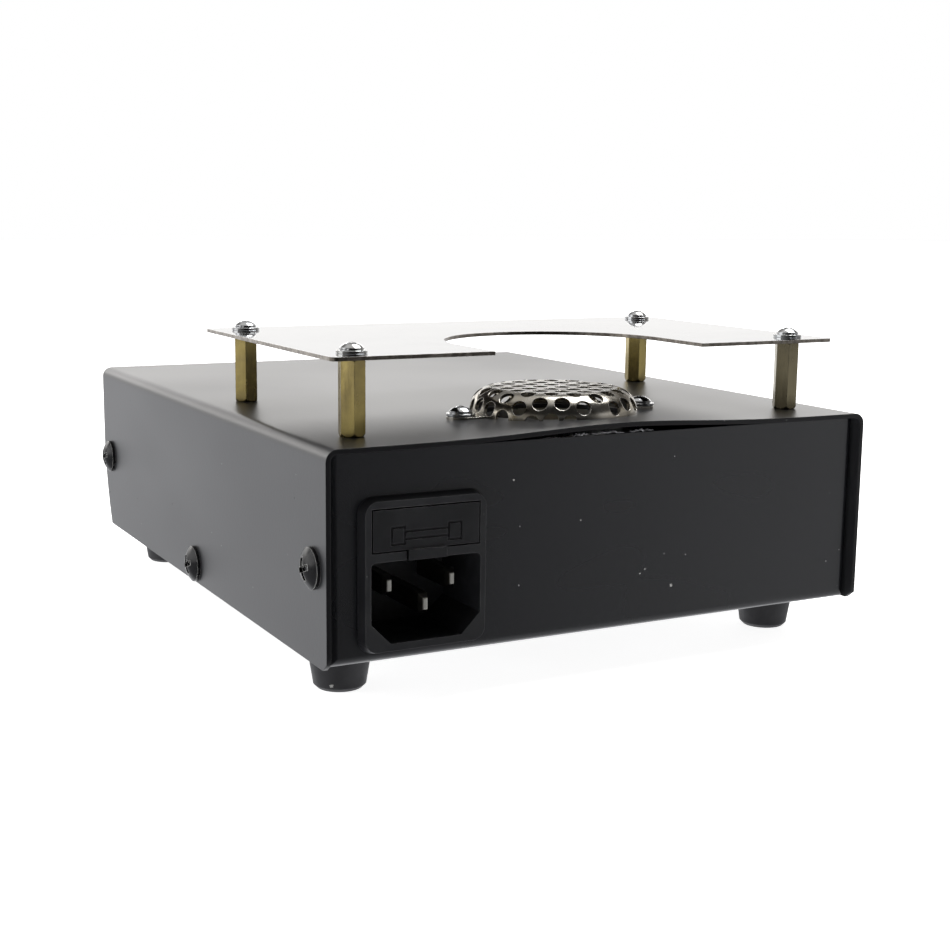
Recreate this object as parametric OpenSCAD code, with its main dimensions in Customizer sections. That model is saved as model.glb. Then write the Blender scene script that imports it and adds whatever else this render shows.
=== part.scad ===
// Small hot-air preheater for circuit boards, seen with its mains inlet at the rear (+Y).
// A sheet-steel tray and a folded cover hold a fan, a heater and a control board. Warm air
// leaves by the perforated dome and meets a board laid over the notch of the raised work plate.

/* [Body] */
// Width of the cover
body_w = 134; // [126:1:160]
// Depth of the cover, front to rear
body_d = 164; // [158:1:200]
// Height of the cover
body_h = 44; // [43:1:60]
// Thickness of the sheet steel
sheet_t = 1; // [0.8:0.1:1.4]
// Outer radius of the cover's two long bends
cover_bend_r = 2.5; // [2:0.1:4]
// Outer radius of the chassis bends
chassis_bend_r = 2; // [1.6:0.1:3]
// Depth of the end panels behind the cover's ends
panel_recess = 2; // [1:0.5:4]
// Radius of the lower corners of the cover's sides
cover_corner_r = 2; // [1:0.5:4]
// How far the sides' front edges curve back towards their lower ends
front_curve = 5.5; // [1:0.5:6]
// Height of that curve above the cover's lower edge
front_curve_h = 26; // [20:1:34]
// Height of the chassis flanges along both sides
flange_h = 12; // [10:1:18]
// Length of the side tabs on the end panels
tab_l = 13; // [11:1:18]

/* [Cover screws] */
// Diameter of the screws' threads
cover_screw_d = 4; // [3:0.5:5]
// Diameter of the screws' domed heads
cover_screw_head_d = 8.6; // [7:0.2:9]
// Height of the screws' domed heads
cover_screw_head_h = 2.4; // [1.8:0.1:3]
// Distance of the end screws from the cover's ends
cover_screw_inset = 7; // [5:0.5:8]
// Height of the end screws above the cover's lower edge
cover_screw_high = 19.6; // [16:0.2:30]
// Height of the middle screws above the cover's lower edge
cover_screw_low = 4.5; // [4.5:0.1:7]

/* [Feet] */
// Height of the rubber feet
foot_h = 9.5; // [8:0.5:16]
// Diameter of a foot at the chassis
foot_top_d = 14; // [12:0.5:18]
// Diameter of a foot at the floor
foot_floor_d = 11.2; // [10:0.2:12]
// Distance of the rear feet from the cover's sides
foot_inset_x = 11; // [9:0.5:16]
// Distance of the rear feet from the cover's rear end
foot_inset_y = 19.5; // [14:0.5:22]
// Distance of the front feet from the cover's sides
front_foot_inset_x = 13; // [11:0.5:18]
// Distance of the front feet from the cover's front end
front_foot_inset_y = 16; // [12:0.5:20]

/* [Work plate] */
// Width of the plate
plate_w = 125.4; // [116:0.2:140]
// Depth of the plate
plate_d = 77; // [74:1:90]
// Thickness of the plate
plate_t = 0.8; // [0.8:0.1:2]
// Radius of the plate's corners
plate_corner_r = 1.5; // [1:0.5:4]
// Distance of the plate's rear edge from the cover's rear end
plate_setback = 7; // [4:0.5:10]
// Width of the notch over the air outlet
notch_w = 52; // [46:1:60]
// Depth of the notch from the plate's rear edge
notch_d = 43; // [36:0.5:46]
// Distance of the notch's middle from the plate's middle
notch_x = 0.6; // [0:0.1:2]
// Distance of the plate's holes from its edges
plate_hole_inset = 7.4; // [5:0.1:9]
// Length of the hexagonal standoffs
standoff_h = 16; // [10:1:25]
// Standoff size across flats
standoff_af = 5; // [5:0.5:7]
// Diameter of the washers under the plate's and the dome's screws
washer_d = 6.4; // [6:0.1:8]
// Thickness of those washers
washer_t = 0.6; // [0.4:0.1:1]
// Diameter of the heads on those washers
pan_head_d = 5; // [4.6:0.1:5.6]
// Height of the heads on those washers
pan_head_h = 1.6; // [1.2:0.1:2.4]

/* [Air outlet] */
// Diameter of the dome
dome_d = 38; // [36:0.5:42]
// Height of the dome
dome_h = 6.2; // [6:0.2:9]
// Radius of the dome's shoulder
dome_shoulder_r = 5.4; // [4.6:0.2:5.6]
// Thickness of the perforated sheet
dome_t = 0.8; // [0.6:0.1:1]
// Diameter of the holes in the dome
dome_hole_d = 3.4; // [2.4:0.1:3.6]
// Distance between the holes in the dome
dome_pitch = 4.9; // [4.8:0.1:6]
// Distance of the dome's centre from the cover's rear end
dome_setback = 27.8; // [27:0.1:34]
// Turn of the dome's grid of holes
dome_grid_turn = 149; // [0:1:179]
// Width of the dome's ears
dome_ear_w = 6.4; // [6:0.2:9]
// Distance between the two dome screws
dome_screw_span = 47.2; // [46:0.1:52]
// Diameter of the air opening in the cover
outlet_d = 33; // [28:1:34]

/* [Mains inlet] */
// Distance of the inlet's middle from the cover's side
inlet_inset = 21.4; // [18:0.1:30]
// Height of the inlet's middle above the cover's lower edge
inlet_mid_h = 18; // [18:0.1:22]
// Width of the inlet's bezel
bezel_w = 28; // [27.6:0.2:32]
// Height of the inlet's bezel
bezel_h = 31.8; // [31.6:0.2:35]
// How far the bezel stands out of the panel
bezel_t = 2.4; // [2:0.1:3.5]
// Travel of the fuse drawer
drawer_travel = 14; // [10:1:16]

/* [Front panel] */
// Height of the controls above the cover's lower edge
control_h = 23; // [20:1:26]
// Distance of the temperature knob from the cover's side
knob_inset = 33; // [27:1:40]
// Diameter of the knob
knob_d = 24; // [20:1:28]
// Length of the knob
knob_l = 14; // [12:1:18]
// Distance of the power switch from the cover's side
switch_inset = 27; // [23:1:32]
// Distance of the indicator lamp from the power switch
lamp_pitch = 26; // [20:1:34]
// Angle that the rocker swings through
rocker_swing = 20; // [14:1:24]

/* [Inside] */
// Side of the square fan frame
fan_size = 40; // [40:1:44]
// Height of the fan frame
fan_h = 20; // [15:1:20]
// Number of fan blades
fan_blades = 7; // [5:1:9]
// Outer diameter of the heater sleeve
sleeve_d = 38; // [36:0.5:38]
// Turns of the heating coil
coil_turns = 5; // [3:1:6]
// Width of the control board
board_w = 100; // [90:1:104]
// Depth of the control board
board_d = 60; // [56:1:64]
// Height of the spacers under the control board
spacer_h = 6; // [4:0.5:8]

/* [Fits] */
// Gap between the cover and the chassis
cover_gap = 0.1; // [0.05:0.05:0.3]
// Gap round moving or removable pieces
slide_gap = 0.3; // [0.2:0.05:0.4]
// Radial clearance of turning shafts
run_gap = 0.05; // [0.03:0.01:0.08]
// Extra diameter of holes for screws
screw_gap = 0.3; // [0.2:0.1:0.6]

/* [Hidden] */
$fn = 48;

// Chassis envelope and levels
base_z = foot_h;
floor_z = base_z + sheet_t;
top_z = base_z + body_h;
ceiling_z = top_z - sheet_t;
chassis_w = body_w - 2 * (sheet_t + cover_gap);
chassis_d = body_d - 2 * panel_recess;
chassis_h = body_h - sheet_t - cover_gap;
rear_face = chassis_d / 2;
front_face = -chassis_d / 2;

// The part's middle lies halfway between the knob's end and the rearmost edge
knob_gap = 0.6;
tab_rise = 0.6;
rear_reach = max(body_d / 2, rear_face + bezel_t + tab_rise);
front_reach = chassis_d / 2 + knob_gap + knob_l;
y_shift = (front_reach - rear_reach) / 2;

// Places that several pieces share
dome_y = body_d / 2 - dome_setback;
plate_y = body_d / 2 - plate_setback - plate_d / 2;
plate_z = top_z + standoff_h;
standoff_x = plate_w / 2 - plate_hole_inset;
standoff_span_y = plate_d / 2 - plate_hole_inset;
foot_x = body_w / 2 - foot_inset_x;
foot_y = body_d / 2 - foot_inset_y;
front_foot_x = body_w / 2 - front_foot_inset_x;
front_foot_y = body_d / 2 - front_foot_inset_y;
inlet_x = body_w / 2 - inlet_inset;
inlet_z = base_z + inlet_mid_h;
control_z = base_z + control_h;
knob_x = knob_inset - body_w / 2;
switch_x = body_w / 2 - switch_inset;
lamp_x = switch_x - lamp_pitch;

// M3 fasteners
m3_d = 3;
m3_hole = m3_d + screw_gap;
m3_shank = m3_d - 0.1;
m3_nut_af = 5.5;
m3_nut_h = 2.4;
m3_head_d = 5.6;
m3_head_h = 2;
foot_nut_h = 1.6;
foot_web = 3.5;

// Mains inlet, measured from its middle on the panel's face
bevel = 0.7;
bezel_r = 3.4;
body_inset = 1.3;
inlet_body_w = bezel_w - 2 * body_inset;
inlet_body_h = bezel_h - 2 * body_inset;
inlet_body_depth = 24;
socket_w = 24.2;
socket_h = 16.7;
socket_chamfer = 4.3;
socket_r = 1;
socket_mid = -5.3;
socket_depth = 17;
pin_pitch = 14;
pin_v = -2.5;
earth_drop = 4;
pin_w = 2;
pin_h = 4;
pin_tip_w = 0.9;
pin_tip_h = 2.2;
pin_tip_depth = 2.7;
earth_tip_depth = 0.6;
tag_end = -32;
drawer_w = 23.4;
drawer_front_h = 8.3;
drawer_mid = 9.3;
drawer_front_t = 1.6;
tab_w = 8.4;
tray_w = 22;
tray_h = 7.4;
tray_depth = drawer_travel - 1;
fuse_d = 5.2;
fuse_l = 20;
fuse_cap_l = 5.5;
fuse_w = bezel_t - drawer_front_t - 7;
socket_top = socket_mid + socket_h / 2;
tab_h = drawer_mid - drawer_front_h / 2 - socket_top;
terminal_x = 8;
terminal_t = 0.8;
terminal_w = 5;

// Front panel fittings
switch_w = 15;
switch_h = 21;
switch_flange_t = 2;
switch_body_w = 13;
switch_body_h = 19;
switch_depth = 14;
rocker_w = 10.6;
rocker_r = 8.2;
rocker_pivot = -1;
rocker_crest = 4.6;
pivot_d = 2;
lamp_d = 8;
lamp_hole = 6.2;
bush_d = 7;
bush_l = 5;
pot_d = 16;
pot_l = 8;
shaft_d = 6;
pot_nut_af = 10;
pot_nut_h = 2;
shaft_top = knob_gap + knob_l - 3;
lamp_l = 10;
lamp_bore = 5;
tag_x = 3.5;
tag_y = 5;
tag_l = 7;

// Fan and heater
fan_bore = fan_size - 2;
fan_hub_d = 18;
fan_floor = 2;
fan_hole_span = fan_size - 8;
fan_top = floor_z + fan_h;
fan_shaft_d = 2;
bearing_d = 5;
bearing_l = 9;
boss_d = 8;
sleeve_t = 0.6;
sleeve_z = fan_top + 0.5;
sleeve_h = ceiling_z - sleeve_z;
lip = 1.5;
former_t = 0.8;
former_r = sleeve_d / 2 - sleeve_t - slide_gap;
former_z = sleeve_z + sleeve_t;
probe_z = ceiling_z - 2.2;
former_h = probe_z - 1.8 - former_z;
coil_r = former_r - 3.2;
coil_wire_d = 1;
coil_margin = 2.2;
coil_z = former_z + coil_margin;
coil_pitch = (former_h - 2 * coil_margin) / coil_turns;
bead_z = former_z + 0.5 * former_h;
bead_x = 6;
bead_d = 3;
bead_end = sleeve_d / 2 + 4;
probe_d = 1.6;
probe_end = sleeve_d / 2 + 7;
sleeve_ear_t = 0.8;
thrust_gap = 0.3;

// Control board
board_t = 1.6;
board_y = -20;
board_top = floor_z + spacer_h + board_t;
board_bottom = floor_z + spacer_h;
board_hole_inset = 4;
board_hole_x = board_w / 2 - board_hole_inset;
board_hole_y = board_d / 2 - board_hole_inset;
transformer_x = -26;
core_leg = 8;
core_d = 14;
core_h = 27;
yoke_h = 5.5;
sink_x = 30;
sink_w = 32;
sink_h = 24;
capacitor_x = -4;
block_w = 24;
block_d = 8;
block_h = 10;
block_y = board_y + board_d / 2 - 6;

// Wiring
lane_x = board_w / 2 + 6;
earth_x = inlet_x - 4;
earth_y = rear_face + tag_end - 18;
ring_t = 0.8;

module in_frame() {
    translate([0, y_shift, 0]) children();
}

// Outward from the rear panel: local x runs to -X, local y up, local z out of the panel
module on_rear(x, z) {
    in_frame() translate([x, rear_face, z]) rotate([90, 0, 180]) children();
}

// Outward from the front panel: local x runs to +X, local y up, local z out of the panel
module on_front(x, z) {
    in_frame() translate([x, front_face, z]) rotate([90, 0, 0]) children();
}

module rounded_rect(w, h, r) {
    square([w - 2 * r, h], center = true);
    square([w, h - 2 * r], center = true);
    for (sx = [-1, 1], sy = [-1, 1])
        translate([sx * (w / 2 - r), sy * (h / 2 - r)]) circle(r);
}

// Rectangle standing on the x axis with its two lower corners rounded
module trough(w, h, r) {
    translate([-w / 2, r]) square([w, h - r]);
    translate([-w / 2 + r, 0]) square([w - 2 * r, h]);
    for (s = [-1, 1])
        translate([s * (w / 2 - r), r]) circle(r);
}

module arch(w, h, r) {
    translate([0, h]) mirror([0, 1]) trough(w, h, r);
}

module hex_prism(af, h) {
    cylinder(d = af / cos(30), h = h, $fn = 6);
}

module nut(af, d, h) {
    difference() {
        hex_prism(af, h);
        translate([0, 0, -1]) cylinder(d = d, h = h + 2);
    }
}

// Cross recess for a driver, cut down from z = 0
module cross_recess(size, depth) {
    for (a = [0, 90])
        rotate(a) translate([-size / 2, -size / 8, -depth]) cube([size, size / 4, depth + 1]);
}

// Ball-shaped screw head standing on z = 0, with a cross recess
module domed_head(head_d, head_h) {
    cap_r = (head_d * head_d / 4 + head_h * head_h) / (2 * head_h);
    difference() {
        intersection() {
            translate([0, 0, head_h - cap_r]) sphere(cap_r);
            cylinder(d = head_d + 1, h = head_h);
        }
        translate([0, 0, head_h]) rotate(20) cross_recess(head_d * 0.48, head_h * 0.55);
    }
}

// Broad head with an upright rim below its low dome, and a cross recess
module truss_head(head_d, head_h) {
    rim_h = head_h / 3;
    cap_h = head_h - rim_h;
    cap_r = (head_d * head_d / 4 + cap_h * cap_h) / (2 * cap_h);
    difference() {
        intersection() {
            translate([0, 0, head_h - cap_r]) sphere(cap_r);
            cylinder(d = head_d, h = head_h);
        }
        translate([0, 0, head_h]) rotate(20) cross_recess(head_d * 0.54, head_h * 0.5);
    }
}

// Screw with a domed head above z = 0 and its shank below
module dome_screw(head_d, head_h, shank_d, shank_l) {
    domed_head(head_d, head_h);
    translate([0, 0, -shank_l]) cylinder(d = shank_d, h = shank_l);
}

// Pan-head screw on a broad fixed washer
module washer_screw(shank_l) {
    cylinder(d = washer_d, h = washer_t);
    translate([0, 0, washer_t]) truss_head(pan_head_d, pan_head_h);
    translate([0, 0, -shank_l]) cylinder(d = m3_shank, h = shank_l);
}

// Triangles and end caps of a tube whose rings of points are listed one after another
function tube_faces(rings, sides) = concat(
    [for (k = [0 : rings - 2], i = [0 : sides - 1])
        let (a = k * sides + i, b = k * sides + (i + 1) % sides)
            each [[a, b, b + sides], [a, b + sides, a + sides]]],
    [[for (i = [sides - 1 : -1 : 0]) i]],
    [[for (i = [0 : sides - 1]) (rings - 1) * sides + i]]
);

function unit(v) = v / norm(v);

// Direction of a path at its point i, halfway between its two neighbours at a bend
function path_direction(points, i) =
    let (
        before = points[max(i, 1)] - points[max(i, 1) - 1],
        after = points[min(i + 1, len(points) - 1)] - points[min(i, len(points) - 2)]
    )
    unit(unit(before) + unit(after));

// Wire of even thickness along a list of points, none of its runs parallel to X
module wire(points, d) {
    sides = 10;
    rings = [
        for (i = [0 : len(points) - 1])
            let (t = path_direction(points, i), u = unit(cross(t, [1, 0, 0])), v = cross(u, t))
                for (k = [0 : sides - 1])
                    points[i] + d / 2 * (cos(k * 360 / sides) * u + sin(k * 360 / sides) * v)
    ];
    polyhedron(rings, tube_faces(len(points), sides));
}

// Chassis block with its lower end bends and its upright corners rounded
module chassis_envelope(inset) {
    r = chassis_bend_r - inset;
    w = chassis_w - 2 * inset;
    d = chassis_d - 2 * inset;
    translate([0, 0, base_z + inset]) intersection() {
        linear_extrude(chassis_h) rounded_rect(w, d, r);
        rotate([90, 0, 90]) linear_extrude(w + 2, center = true) trough(d, chassis_h, r);
    }
}

// Places of the three cover screws on one side: [distance along y, height]
function cover_screw_places() = [
    [body_d / 2 - cover_screw_inset, base_z + cover_screw_high],
    [0, base_z + cover_screw_low],
    [-body_d / 2 + cover_screw_inset, base_z + cover_screw_high]
];

// Holes on a triangular grid that fall inside a circle
function grid_points(pitch, limit) = [
    for (i = [-8 : 8], j = [-8 : 8])
        let (x = (i + j / 2) * pitch, y = j * pitch * sqrt(3) / 2)
            if (norm([x, y]) < limit) [x, y]
];

module base_chassis() {
    relief = 2;
    wall_cut = chassis_d - 2 * tab_l;
    vent_d = 3.6;
    color("#242528") in_frame() difference() {
        intersection() {
            chassis_envelope(0);
            translate([0, 0, base_z]) rotate([90, 0, 0]) linear_extrude(body_d, center = true)
                arch(chassis_w, chassis_h, cover_bend_r - sheet_t);
        }
        chassis_envelope(sheet_t);
        for (s = [-1, 1]) {
            translate([s * chassis_w / 2 - 3, -wall_cut / 2, base_z + flange_h]) cube([6, wall_cut, body_h]);
            for (e = [-1, 1])
                translate([s * chassis_w / 2 - 3, e * (wall_cut / 2 - relief / 2) - relief / 2, floor_z])
                    cube([6, relief, body_h]);
            for (p = cover_screw_places())
                translate([s * chassis_w / 2, p[0], p[1]]) rotate([0, 90, 0])
                    cylinder(d = cover_screw_d, h = 8, center = true);
            for (e = [-1, 1])
                translate(foot_place(s, e, base_z - 1)) cylinder(d = m3_hole, h = 4);
            for (e = [-1, 1])
                translate([s * fan_hole_span / 2, dome_y + e * fan_hole_span / 2, base_z - 1])
                    cylinder(d = m3_hole, h = 4);
            for (e = [-1, 1])
                translate([s * board_hole_x, board_y + e * board_hole_y, base_z - 1])
                    cylinder(d = m3_hole, h = 4);
        }
        for (p = grid_points(5, fan_bore / 2 - vent_d / 2))
            translate([p[0], dome_y + p[1], base_z - 1]) cylinder(d = vent_d, h = 4);
        translate([earth_x, earth_y, base_z - 1]) cylinder(d = m3_hole, h = 4);
        translate([inlet_x, rear_face - 2, inlet_z])
            cube([inlet_body_w + 2 * slide_gap, 12, inlet_body_h + 2 * slide_gap], center = true);
        translate([switch_x, front_face, control_z])
            cube([switch_body_w + 2 * slide_gap, 12, switch_body_h + 2 * slide_gap], center = true);
        translate([lamp_x, front_face + 6, control_z]) rotate([90, 0, 0]) cylinder(d = lamp_hole, h = 12);
        translate([knob_x, front_face + 6, control_z]) rotate([90, 0, 0])
            cylinder(d = bush_d + screw_gap, h = 12);
    }
}

// What the front corners of the cover's sides lack: a long shallow curve that ends in a small bevel
module front_corner_cut() {
    flats = 8;
    bevel_h = cover_corner_r / 2;
    long_r = (front_curve_h * front_curve_h + front_curve * front_curve) / (2 * front_curve);
    curve = [
        for (k = [0 : flats])
            let (h = bevel_h + (front_curve_h - bevel_h) * k / flats)
                [long_r - sqrt(long_r * long_r - pow(front_curve_h - h, 2)), h]
    ];
    foot = curve[0][0] + 2 * bevel_h;
    rotate([90, 0, 90]) linear_extrude(3 * body_w, center = true)
        polygon(concat([[-1, front_curve_h], [-1, -1], [foot, -1], [foot, 0]], curve));
}

module cover() {
    corner = 2 * cover_corner_r;
    color("#1f2023") in_frame() difference() {
        translate([0, body_d / 2, base_z]) rotate([90, 0, 0]) linear_extrude(body_d) difference() {
            arch(body_w, body_h, cover_bend_r);
            translate([0, -1]) arch(body_w - 2 * sheet_t, body_h - sheet_t + 1, cover_bend_r - sheet_t);
        }
        translate([0, body_d / 2 - cover_corner_r, base_z + cover_corner_r]) difference() {
            translate([-body_w, 0, -corner]) cube([2 * body_w, corner, corner]);
            rotate([0, 90, 0]) cylinder(r = cover_corner_r, h = 3 * body_w, center = true);
        }
        translate([0, -body_d / 2, base_z]) front_corner_cut();
        for (s = [-1, 1], p = cover_screw_places())
            translate([s * body_w / 2, p[0], p[1]]) rotate([0, 90, 0])
                cylinder(d = cover_screw_d + screw_gap, h = 4 * sheet_t, center = true);
        translate([0, dome_y, ceiling_z - 1]) cylinder(d = outlet_d, h = 4);
        for (s = [-1, 1])
            translate([s * dome_screw_span / 2, dome_y, ceiling_z - 1]) cylinder(d = m3_hole, h = 4);
        for (sx = [-1, 1], sy = [-1, 1])
            translate([sx * standoff_x, plate_y + sy * standoff_span_y, ceiling_z - 1])
                cylinder(d = m3_hole, h = 4);
    }
}

module cover_screws() {
    shank_l = 6;
    color("#151517") in_frame() for (s = [0, 1], p = cover_screw_places())
        mirror([s, 0, 0]) translate([body_w / 2, p[0], p[1]]) rotate([0, 90, 0]) {
            truss_head(cover_screw_head_d, cover_screw_head_h);
            translate([0, 0, -shank_l]) cylinder(d = cover_screw_d - 0.1, h = shank_l);
        }
}

// Middle of a foot at height z: sx picks the side, sy the rear or the front
function foot_place(sx, sy, z) =
    sy > 0 ? [sx * foot_x, foot_y, z] : [sx * front_foot_x, -front_foot_y, z];

module foot(sx, sy) {
    edge = 0.8;
    bore_d = m3_head_d + 1;
    color("#161617") in_frame() translate(foot_place(sx, sy, 0)) difference() {
        rotate_extrude() {
            difference() {
                polygon([[0, 0], [foot_floor_d / 2 - edge, 0], [foot_floor_d / 2, edge],
                    [foot_top_d / 2, foot_h], [0, foot_h]]);
                translate([-1, -1]) square([bore_d / 2 + 1, foot_h - foot_web + 1]);
            }
        }
        translate([0, 0, -1]) cylinder(d = m3_hole, h = foot_h + 2);
    }
}

module foot_screws() {
    color("#8d8f93") in_frame() for (sx = [-1, 1], sy = [-1, 1])
        translate(foot_place(sx, sy, foot_h - foot_web)) mirror([0, 0, 1])
            dome_screw(m3_head_d, m3_head_h, m3_shank, foot_web + sheet_t + foot_nut_h);
}

module foot_nuts() {
    color("#a5a7aa") in_frame() for (sx = [-1, 1], sy = [-1, 1])
        translate(foot_place(sx, sy, floor_z)) nut(m3_nut_af, m3_d, foot_nut_h);
}

module work_plate() {
    notch_r = notch_w / 2;
    notch_y = plate_d / 2 - notch_d + notch_r;
    color("#e4e5e8") in_frame() translate([0, plate_y, plate_z]) linear_extrude(plate_t) difference() {
        rounded_rect(plate_w, plate_d, plate_corner_r);
        translate([notch_x, notch_y]) circle(notch_r);
        translate([notch_x - notch_r, notch_y]) square([notch_w, plate_d]);
        for (sx = [-1, 1], sy = [-1, 1])
            translate([sx * standoff_x, sy * standoff_span_y]) circle(d = m3_hole);
    }
}

// Hexagonal pillar with chamfered ends, a stud below and a tapped hole above
module standoff(sx, sy, turn) {
    tip = standoff_af / cos(30) / 2;
    chamfer = 0.1;
    flat = standoff_af / 2 - chamfer;
    rise = 1.6 * (tip - flat);
    stud_l = sheet_t + m3_nut_h + 1;
    hex_start = 8;
    color("#8c7a3f") in_frame()
    translate([sx * standoff_x, plate_y + sy * standoff_span_y, top_z]) rotate(turn - hex_start) {
        difference() {
            intersection() {
                rotate(hex_start) hex_prism(standoff_af, standoff_h);
                rotate_extrude() polygon([[0, 0], [flat, 0], [tip, rise], [tip, standoff_h - rise],
                    [flat, standoff_h], [0, standoff_h]]);
            }
            translate([0, 0, standoff_h - 8]) cylinder(d = m3_d, h = 9);
        }
        translate([0, 0, -stud_l]) cylinder(d = m3_shank, h = stud_l + 1);
    }
}

module standoff_nuts() {
    color("#a5a7aa") in_frame() for (sx = [-1, 1], sy = [-1, 1])
        translate([sx * standoff_x, plate_y + sy * standoff_span_y, ceiling_z - m3_nut_h])
            nut(m3_nut_af, m3_d, m3_nut_h);
}

module plate_screws() {
    bite = 6;
    color("#c9cccf") in_frame() for (sx = [-1, 1], sy = [-1, 1])
        translate([sx * standoff_x, plate_y + sy * standoff_span_y, plate_z + plate_t])
            washer_screw(plate_t + bite);
}

// Half section of the pressed dome, grown outward by grow: flat crown, round shoulder, straight wall
module dome_half(grow) {
    r = dome_shoulder_r + grow;
    crown_r = dome_d / 2 - dome_shoulder_r;
    square([crown_r, dome_h + grow]);
    square([dome_d / 2 + grow, dome_h - dome_shoulder_r]);
    translate([crown_r, dome_h - dome_shoulder_r]) intersection() {
        circle(r);
        square(r + 1);
    }
}

// A point of the flat sheet, s from its middle, lands on the dome at [radius, height, tilt from upright]
function dome_place(s) =
    let (
        crown_r = dome_d / 2 - dome_shoulder_r,
        arc = dome_shoulder_r * PI / 2,
        a = min(90, max(0, (s - crown_r) / arc * 90)),
        drop = max(0, s - crown_r - arc)
    )
    [
        min(s, crown_r) + dome_shoulder_r * sin(a),
        dome_h - dome_shoulder_r + dome_shoulder_r * cos(a) - drop,
        a
    ];

// Holes of the perforated sheet. The lowest ones are cut open by the dome's edge, but none near the ears.
module dome_holes() {
    crown_r = dome_d / 2 - dome_shoulder_r;
    rim = 0.4;
    shift = [1.9, -0.8];
    edge = crown_r + dome_shoulder_r * PI / 2 + dome_h - dome_shoulder_r;
    whole = edge - dome_hole_d / 2 - rim;
    open = edge - dome_hole_d / 2 + rim;
    for (g = grid_points(dome_pitch, edge + norm(shift))) {
        p = g + shift;
        s = norm(p);
        turn = atan2(p[1], p[0]) + dome_grid_turn;
        at = dome_place(s);
        clear_of_ears = abs(sin(turn)) * dome_d / 2 > (dome_ear_w + dome_hole_d) / 2 + rim;
        if (s < whole || (s > open && s < edge && clear_of_ears))
            rotate(turn) translate([at[0], 0, at[1]]) rotate([0, at[2], 0])
                cylinder(d = dome_hole_d, h = 4 * dome_t, center = true);
    }
}

module air_dome() {
    color("#a79b84") in_frame() translate([0, dome_y, top_z]) {
        difference() {
            rotate_extrude() difference() {
                dome_half(0);
                dome_half(-dome_t);
                translate([-1, -1]) square([dome_d / 2 - dome_t + 1, dome_h - dome_shoulder_r + 1]);
            }
            dome_holes();
        }
        for (s = [0, 1])
            mirror([s, 0, 0]) linear_extrude(dome_t) difference() {
                union() {
                    translate([dome_d / 2 - dome_t / 2, -dome_ear_w / 2])
                        square([(dome_screw_span - dome_d + dome_t) / 2, dome_ear_w]);
                    translate([dome_screw_span / 2, 0]) circle(d = dome_ear_w);
                }
                circle(d = dome_d - dome_t);
                translate([dome_screw_span / 2, 0]) circle(d = m3_hole);
            }
    }
}

module dome_screws() {
    shank = dome_t + sheet_t + sleeve_ear_t + m3_nut_h + 0.5;
    color("#c9cccf") in_frame() for (s = [-1, 1])
        translate([s * dome_screw_span / 2, dome_y, top_z + dome_t]) washer_screw(shank);
}

module dome_nuts() {
    color("#a5a7aa") in_frame() for (s = [-1, 1])
        translate([s * dome_screw_span / 2, dome_y, ceiling_z - sleeve_ear_t - m3_nut_h])
            nut(m3_nut_af, m3_d, m3_nut_h);
}

// Bezel standing on the panel, with a bevel that runs round the corners in small flats
module bezel() {
    flat_step = 10;
    intersection_for (a = [0 : flat_step : 180 - flat_step])
        rotate(a) rotate([90, 0, 0]) linear_extrude(bezel_w + bezel_h, center = true)
            bevelled_side(bezel_reach(a));
}

// How far the bezel's rounded outline reaches from its middle, square to a direction
function bezel_reach(a) =
    (bezel_w / 2 - bezel_r) * abs(cos(a)) + (bezel_h / 2 - bezel_r) * abs(sin(a)) + bezel_r;

module bevelled_side(half) {
    polygon([[-half, 0], [half, 0], [half - bevel, bezel_t], [-half + bevel, bezel_t]]);
}

module socket_outline() {
    w = socket_w / 2;
    h = socket_h / 2;
    translate([0, socket_mid]) {
        polygon([[-w, h - socket_r], [w, h - socket_r], [w, -h + socket_chamfer], [w - socket_chamfer, -h],
            [-w + socket_chamfer, -h], [-w, -h + socket_chamfer]]);
        translate([0, h - socket_h / 4]) rounded_rect(socket_w, socket_h / 2, socket_r);
    }
}

// Front of the fuse drawer with its finger tab, grown by gap on every side
module drawer_outline(gap) {
    translate([0, drawer_mid]) square([drawer_w + 2 * gap, drawer_front_h + 2 * gap], center = true);
    translate([-tab_w / 2 - gap, socket_top - gap]) square([tab_w + 2 * gap, tab_h + 2]);
}

module inlet_housing() {
    latch_l = 5;
    latch_t = 1;
    color("#1b1b1d") on_rear(inlet_x, inlet_z) difference() {
        union() {
            bezel();
            translate([0, 0, -inlet_body_depth]) linear_extrude(inlet_body_depth)
                rounded_rect(inlet_body_w, inlet_body_h, 1.5);
            for (s = [0, 1])
                mirror([s, 0, 0]) translate([inlet_body_w / 2, 0, -sheet_t - slide_gap]) rotate([90, 0, 0])
                    linear_extrude(12, center = true) polygon([[-0.5, 0], [latch_t, 0], [-0.5, -latch_l]]);
        }
        translate([0, 0, bezel_t - socket_depth]) linear_extrude(socket_depth + 1) socket_outline();
        translate([0, 0, bezel_t - drawer_front_t]) linear_extrude(drawer_front_t + 1)
            drawer_outline(slide_gap);
        translate([0, drawer_mid, bezel_t - drawer_front_t - tray_depth / 2 - slide_gap])
            cube([tray_w + 2 * slide_gap, tray_h + 2 * slide_gap, tray_depth + 2 * slide_gap], center = true);
        for (s = [-1, 1])
            translate([s * pin_pitch / 2, pin_v, tag_end]) pin_blank(0.02, -tag_end);
        translate([0, pin_v - earth_drop, tag_end]) pin_blank(0.02, -tag_end);
        for (s = [-1, 1])
            translate([s * terminal_x, drawer_mid, -inlet_body_depth])
                cube([terminal_t + 0.04, terminal_w + 0.04, 30], center = true);
    }
}

// Flat bar of a pin's section, grown by gap on every side
module pin_blank(gap, l) {
    translate([-pin_w / 2 - gap, -pin_h / 2 - gap, 0]) cube([pin_w + 2 * gap, pin_h + 2 * gap, l]);
}

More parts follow.
